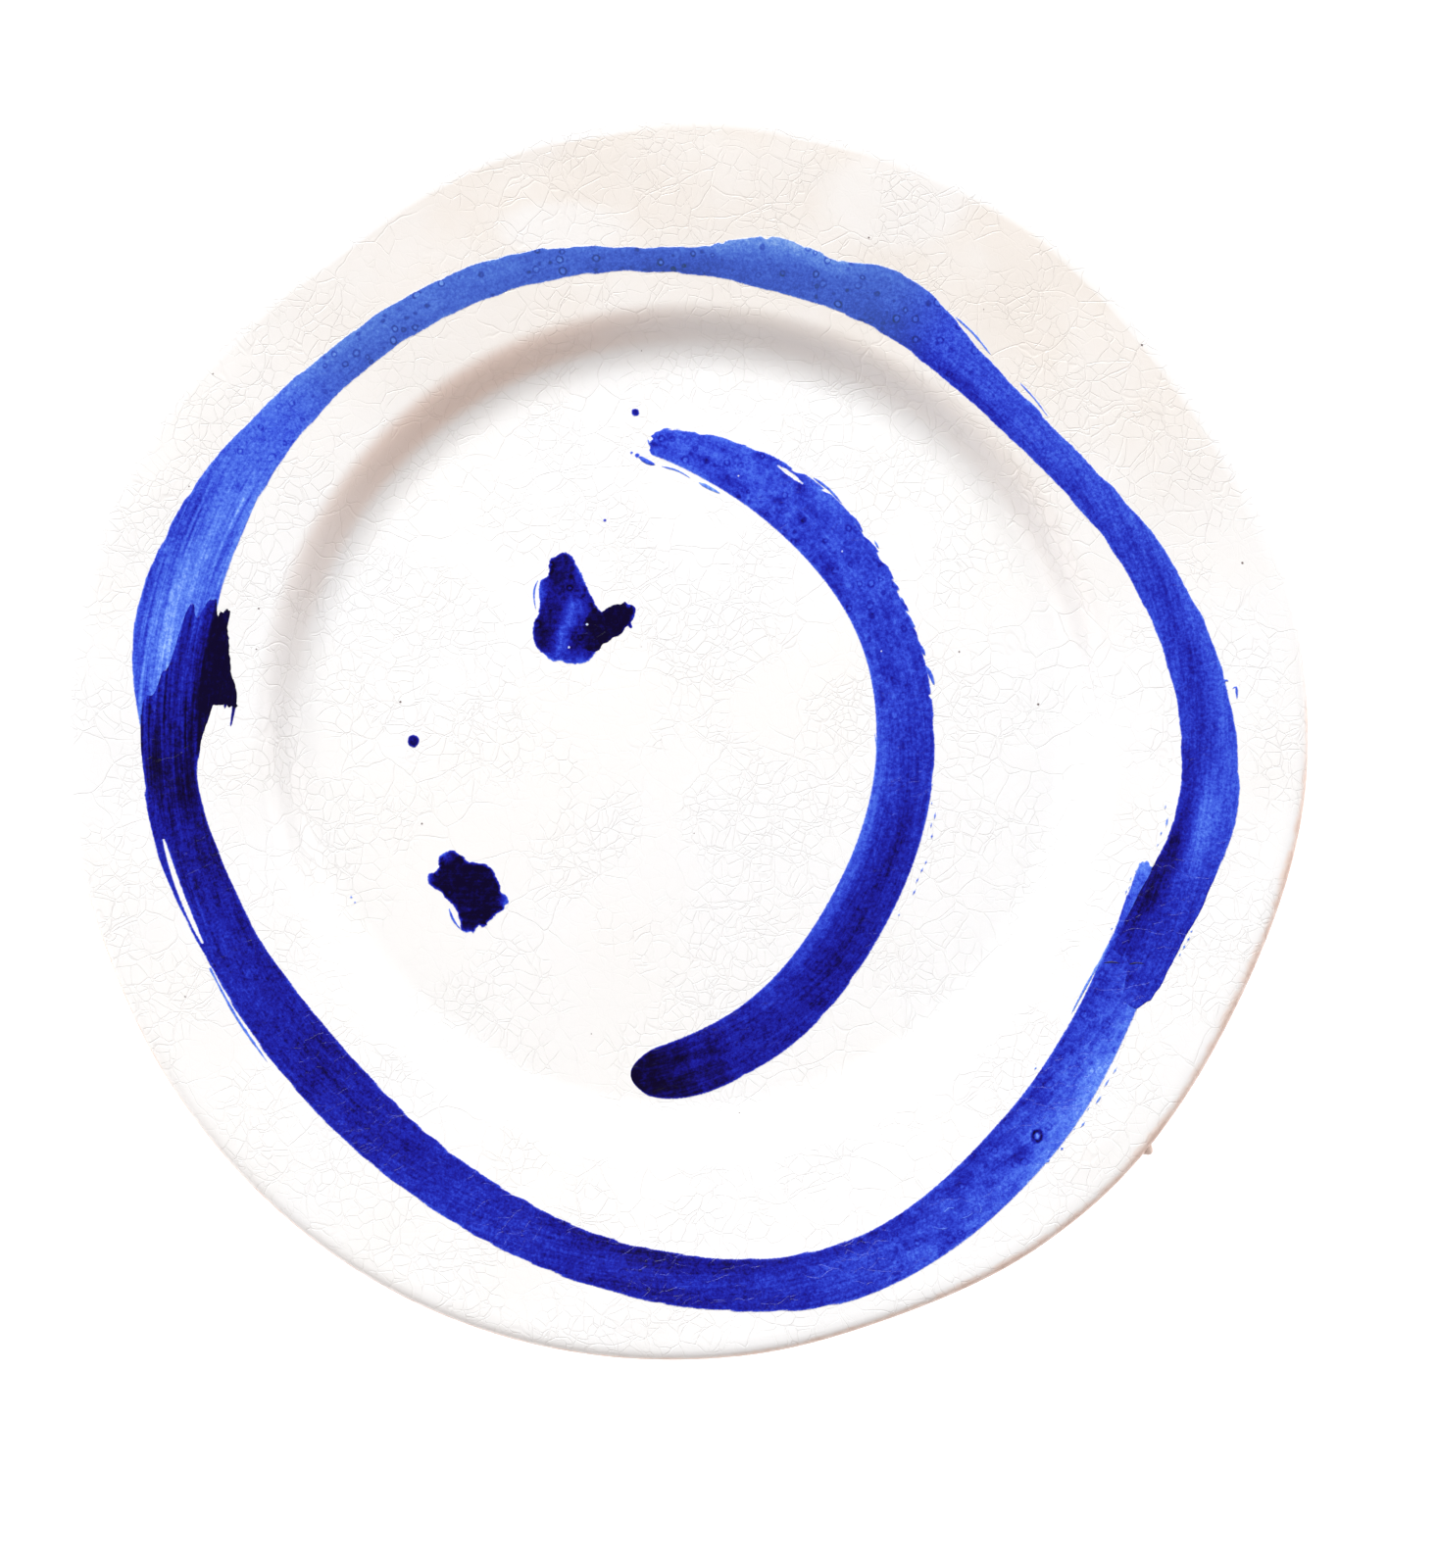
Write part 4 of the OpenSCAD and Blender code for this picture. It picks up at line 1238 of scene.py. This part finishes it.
# --- Dabs and dots ---
# Outlines of the dabs
LONG_DAB = [(-25.2, 38.3), (-24.1, 37.5), (-23, 35.7), (-22.1, 34), (-21.2, 32.1), (-20.5, 30.3),
            (-19.6, 28.6), (-18.7, 27), (-17.8, 25.8), (-17.6, 23), (-18.2, 20), (-18.7, 18),
            (-19.5, 16.7), (-20.5, 15.5), (-22.5, 14.9), (-25, 15), (-26.5, 15.5), (-28.3, 15.4),
            (-29.8, 16.6), (-31.2, 17.9), (-32.1, 19.6), (-32.4, 21.3), (-32.2, 23.7), (-31.4, 25),
            (-31, 26.6), (-30.9, 28.4), (-31.2, 30.6), (-30.6, 32.4), (-29.2, 33.5), (-29, 35.6),
            (-28.5, 37), (-27.2, 37.8), (-26.1, 38.3)]
SHORT_DAB = [(-18, 25.8), (-16.3, 26.9), (-15.1, 27.4), (-13.8, 27.3), (-13, 27.9), (-12.4, 27.3),
             (-11.3, 27.2), (-10.8, 26.3), (-11.1, 24.4), (-11.6, 23.7), (-11.4, 22.6), (-12, 22.4),
             (-12.4, 23), (-13.2, 22.2), (-14.1, 21), (-15.6, 20.4), (-16.7, 19.5), (-17.8, 19),
             (-18.8, 17.6), (-20.5, 17.4), (-22.4, 18.2), (-23.6, 20), (-23.2, 22), (-21.8, 23.6),
             (-20.6, 25.6), (-19.3, 27)]
LOWER_DAB = [(-49, -24), (-46.9, -25.3), (-46, -26.1), (-44.9, -26.5), (-43, -26.7), (-41.8, -27.1),
             (-40.5, -28), (-40.1, -29.2), (-39, -31.6), (-38.7, -32.9), (-37.8, -33.4),
             (-37.3, -35), (-38, -35.6), (-38.5, -36.7), (-39.5, -37.2), (-40.5, -38.3),
             (-41.6, -39.1), (-41.9, -39.9), (-42.9, -40.3), (-43.4, -39.9), (-44.1, -40.6),
             (-44.7, -41.6), (-45.2, -41.2), (-46.5, -41.4), (-47.4, -40.6), (-47.6, -38.8),
             (-48.5, -36.6), (-49.4, -35.3), (-50.7, -34), (-51.4, -33), (-52.9, -32.1),
             (-54.1, -31.2), (-54.3, -29.9), (-54, -28.9), (-52.9, -28.6), (-52.1, -27.7),
             (-52, -25.7), (-51, -24.6)]


def closed_curve(points, steps=4):
    """A smooth closed curve through the points."""
    pts = np.array(points, float)
    n = len(pts)
    out = []
    for k in range(n):
        p, q, r, e = (pts[(k + i) % n] for i in (-1, 0, 1, 2))
        for t in np.arange(steps) / steps:
            out.append(curve_step(p, q, r, e, t))
    return np.array(out)


def depth_in(outline, x, y):
    """Distance in from a closed outline, below zero outside it."""
    best = np.full(x.shape, 1e9)
    inside = np.zeros(x.shape, bool)
    for (ax, ay), (bx, by) in zip(outline, np.roll(outline, -1, axis=0)):
        dx, dy = bx - ax, by - ay
        t = np.clip(((x - ax) * dx + (y - ay) * dy) / (dx * dx + dy * dy + 1e-12), 0, 1)
        best = np.minimum(best, np.hypot(x - ax - t * dx, y - ay - t * dy))
        if ay != by:
            crosses = (ay > y) != (by > y)
            inside ^= crosses & (x < ax + (y - ay) * dx / dy)
    return np.where(inside, best, -best)


def dab(name, outline, load_at, material, node, lift=0.0, glints=(), hairs=()):
    """A dab of paint inside an outline, with its load worked out at each place, and tiny pale glints."""
    curve = closed_curve(outline)
    low, high = curve.min(axis=0) - 1, curve.max(axis=0) + 1
    s, v = np.arange(low[0], high[0], DAB_GRID), np.arange(low[1], high[1], DAB_GRID)
    x, y = np.meshgrid(s, v, indexing="ij")
    depth = depth_in(curve, x, y) + 0.10 * noise(x / 1.2, y / 1.2, 81) + 0.10 * noise(x / 0.5, y / 0.5, 82)
    load = load_at(x, y, depth) + 0.04 * noise(x / 1.6, y / 1.6, 84)
    shell = Shell()
    film(shell, lambda a, b: (a, b), s, v, depth, np.clip(load, 0, LOAD_TOP), lift, bubbly=0.5)
    for points, half_w, hair_load in hairs:
        hair(shell, points, half_w, hair_load, blunt=0.6)
    for gx, gy, r in glints:
        dot(shell, gx, gy, r, 0.0, lift=OVER_LAP)
    return shell.build(name, material, "cobalt", node)


def long_dab_load(x, y, depth):
    """Dark on the left and at the top, with a pale core that fades upward and a paler foot."""
    load = 0.86 + 0.03 * bristles(y, x, 86, 0.6, 7)
    core_x = np.interp(y, [16, 21, 24, 27, 31], [-27, -26.1, -24.9, -24.3, -23.8])
    core = smooth(1 - np.abs(x - core_x) / 2.6) * smooth((32 - y) / 8) * smooth((y - 15) / 4)
    load = load - 0.34 * core - 0.20 * bump_at(x, y, -22.6, 26.5, 3.2, 5.0)
    load = load - 0.32 * bump_at(x, y, -22.2, 34.0, 2.0, 4.2)
    load = load - 0.24 * smooth((18.5 - y) / 3) - 0.34 * bump_at(x, y, -30.6, 30.5, 1.8, 4.0)
    load = load + 0.08 * bump_at(x, y, -30, 22.5, 2.5, 4.5) + 0.06 * bump_at(x, y, -27.5, 34, 2.2, 5.0)
    return load - 0.14 * smooth((0.7 - depth) / 0.8)


def short_dab_load(x, y, depth):
    """Nearly black, fading where it runs over the long dab, with a bluer end."""
    over_long = smooth((-19.5 - x) / 3.5)
    load = 1.0 - 0.30 * smooth((0.9 - depth) / 1.0) * smooth((x + 14) / 2)
    return load - 0.16 * over_long - 0.08 * smooth((0.5 - depth) / 0.6)


def lower_dab_load(x, y, depth):
    load = 1.0 - 0.26 * smooth((0.9 - depth) / 1.0)
    load = load - 0.34 * bump_at(x, y, -50.8, -25.2, 3.0, 2.4) - 0.24 * bump_at(x, y, -54, -30, 1.8)
    load = load - 0.36 * bump_at(x, y, -38.2, -34.8, 2.2, 2.6) - 0.22 * bump_at(x, y, -46, -41, 3.0, 1.4)
    return load - 0.16 * bump_at(x, y, -43.9, -32.5, 0.6) - 0.14 * bump_at(x, y, -45.7, -36.5, 0.8)


def dabs(material):
    dab("dab_long", LONG_DAB, long_dab_load, material, "dab_upper_long", glints=[(-24.7, 18.4, 0.24)],
        hairs=[([(-31.2, 32.4), (-31.9, 30.8), (-32, 28.5), (-31.6, 26.2)], 0.26, 0.4)])
    dab("dab_short", SHORT_DAB, short_dab_load, material, "dab_upper_short", lift=LAP_LIFT,
        glints=[(-20.9, 23.2, 0.26)])
    dab("dab_low", LOWER_DAB, lower_dab_load, material, "dab_lower",
        hairs=[([(-49.8, -36.3), (-49.3, -37.8), (-48.5, -39.3), (-47.2, -40.8)], 0.3, 0.42)])


# Drops of spattered paint: place, radius and load
DOTS = [(-10.8, 67.6, 0.9, 0.80), (-17.2, 45, 0.4, 0.70), (-57.3, -1.2, 1.35, 0.90),
        (-70.3, -33.9, 0.32, 0.30), (-69.5, -35, 0.26, 0.25)]


# Dark iron specks in the glaze
SPECKS = [(-9.5, 80.5), (-90, 18), (-89.5, 26.5), (95, 81.5), (62, 89), (-99, 75.5), (-55.5, -18.5),
          (-60, 7), (-20, -62.5), (11, -79), (57, 17.5), (73.5, 6.5), (1.5, -20.5), (-104, 52),
          (38, 104), (116, 36)]


def iron_specks(material):
    shell = Shell()
    for k, (x, y) in enumerate(SPECKS):
        dot(shell, x, y, 0.15 + 0.04 * (k % 4), 1.0, k)
    return shell.build("iron_specks", material, "glaze")


def spatter(material):
    shell = Shell()
    for k, (x, y, r, load) in enumerate(DOTS):
        dot(shell, x, y, r, load, k)
    return shell.build("spatter", material, "cobalt", "spatter_dots")


# --- Stage ---
FRAME_H = 0.3275            # height of the view at the plate's lip
CAMERA_UP = 6.0
CAMERA_AT = (0.0066, -0.0102)
LENS_SENSOR = 36            # the sensor's longer side, in millimetres
FAR_CLIP = 20
FLOOR_HALF = 3.0
FLOOR_GLOW = 0.8
AMBIENT_LOW = 0.31 * 1.12   # the surroundings' strength at the sides and from straight above
AMBIENT_TOP = 0.31 * 0.5
STUDIO_TINT = (1.0, 0.85, 0.79, 1.0)
LIGHT_FAR = 1.6
LIGHT_SIZE = 1.1
LIGHT_AIM = (0, 0, 0.01)
# Soft boxes: name, direction, height in degrees, power, colour
LIGHTS = [("key", 105, 42, 31.5, (0.95, 0.99, 1.0)), ("left", 195, 24, 7.5, (1.0, 0.97, 0.95)),
          ("right", 15, 24, 7.5, (1.0, 0.97, 0.95))]


def aim(thing, target):
    way = Vector(target) - thing.location
    thing.rotation_euler = way.to_track_quat("-Z", "Y").to_euler()


def light(name, azimuth, elevation, far, size, power, colour):
    """A square soft box that looks at the plate from a direction."""
    a, e = math.radians(azimuth), math.radians(elevation)
    flat = far * math.cos(e)
    lamp = bpy.data.lights.new(name, "AREA")
    lamp.size = size
    lamp.energy = power
    lamp.color = colour
    box = bpy.data.objects.new(name, lamp)
    box.location = (flat * math.cos(a), flat * math.sin(a), far * math.sin(e))
    aim(box, LIGHT_AIM)
    bpy.context.scene.collection.objects.link(box)


def camera():
    lens = bpy.data.cameras.new("camera")
    eye = bpy.data.objects.new("camera", lens)
    eye.location = (*CAMERA_AT, CAMERA_UP)
    lens.sensor_width = LENS_SENSOR
    lens.lens = lens.sensor_width * (CAMERA_UP - box_mm("glaze_front")[1][2] * MM) / FRAME_H
    lens.clip_end = FAR_CLIP
    bpy.context.scene.collection.objects.link(eye)
    bpy.context.scene.camera = eye


def ground(material):
    mesh = bpy.data.meshes.new("floor")
    half = FLOOR_HALF
    corners = [(-half, -half, 0), (half, -half, 0), (half, half, 0), (-half, half, 0)]
    mesh.from_pydata(corners, [], [(0, 1, 2, 3)])
    mesh.materials.append(material)
    floor = bpy.data.objects.new("floor", mesh)
    bpy.context.scene.collection.objects.link(floor)


def surroundings():
    world = bpy.data.worlds.new("studio")
    world.use_nodes = True
    t = Tree(world.node_tree)
    background = world.node_tree.nodes["Background"]
    background.inputs["Color"].default_value = STUDIO_TINT
    way = t.node("ShaderNodeTexCoord").outputs["Generated"]
    height = t.node("ShaderNodeSeparateXYZ", {0: way}).outputs[2]
    t.feed(background.inputs["Strength"], t.span(height, 0.7, 1.0, AMBIENT_LOW, AMBIENT_TOP))
    bpy.context.scene.world = world
    bpy.context.scene.view_settings.view_transform = "Standard"


def build():
    glaze, paint, clay = glaze_material(), paint_material(), clay_material()
    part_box("clay_body")
    front_coat(glaze)
    back_coat(glaze)
    recess_coat(glaze)
    glaze_bead(glaze)
    foot(clay)
    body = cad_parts["clay_body"]
    body.data.materials.clear()
    body.data.materials.append(clay)
    upper_ring(paint)
    lower_ring(paint)
    arc(paint)
    dabs(paint)
    spatter(paint)
    iron_specks(speck_material())
    ground(floor_material())
    surroundings()
    for name, azimuth, elevation, power, colour in LIGHTS:
        light(name, azimuth, elevation, LIGHT_FAR, LIGHT_SIZE, power, colour)
    camera()


build()
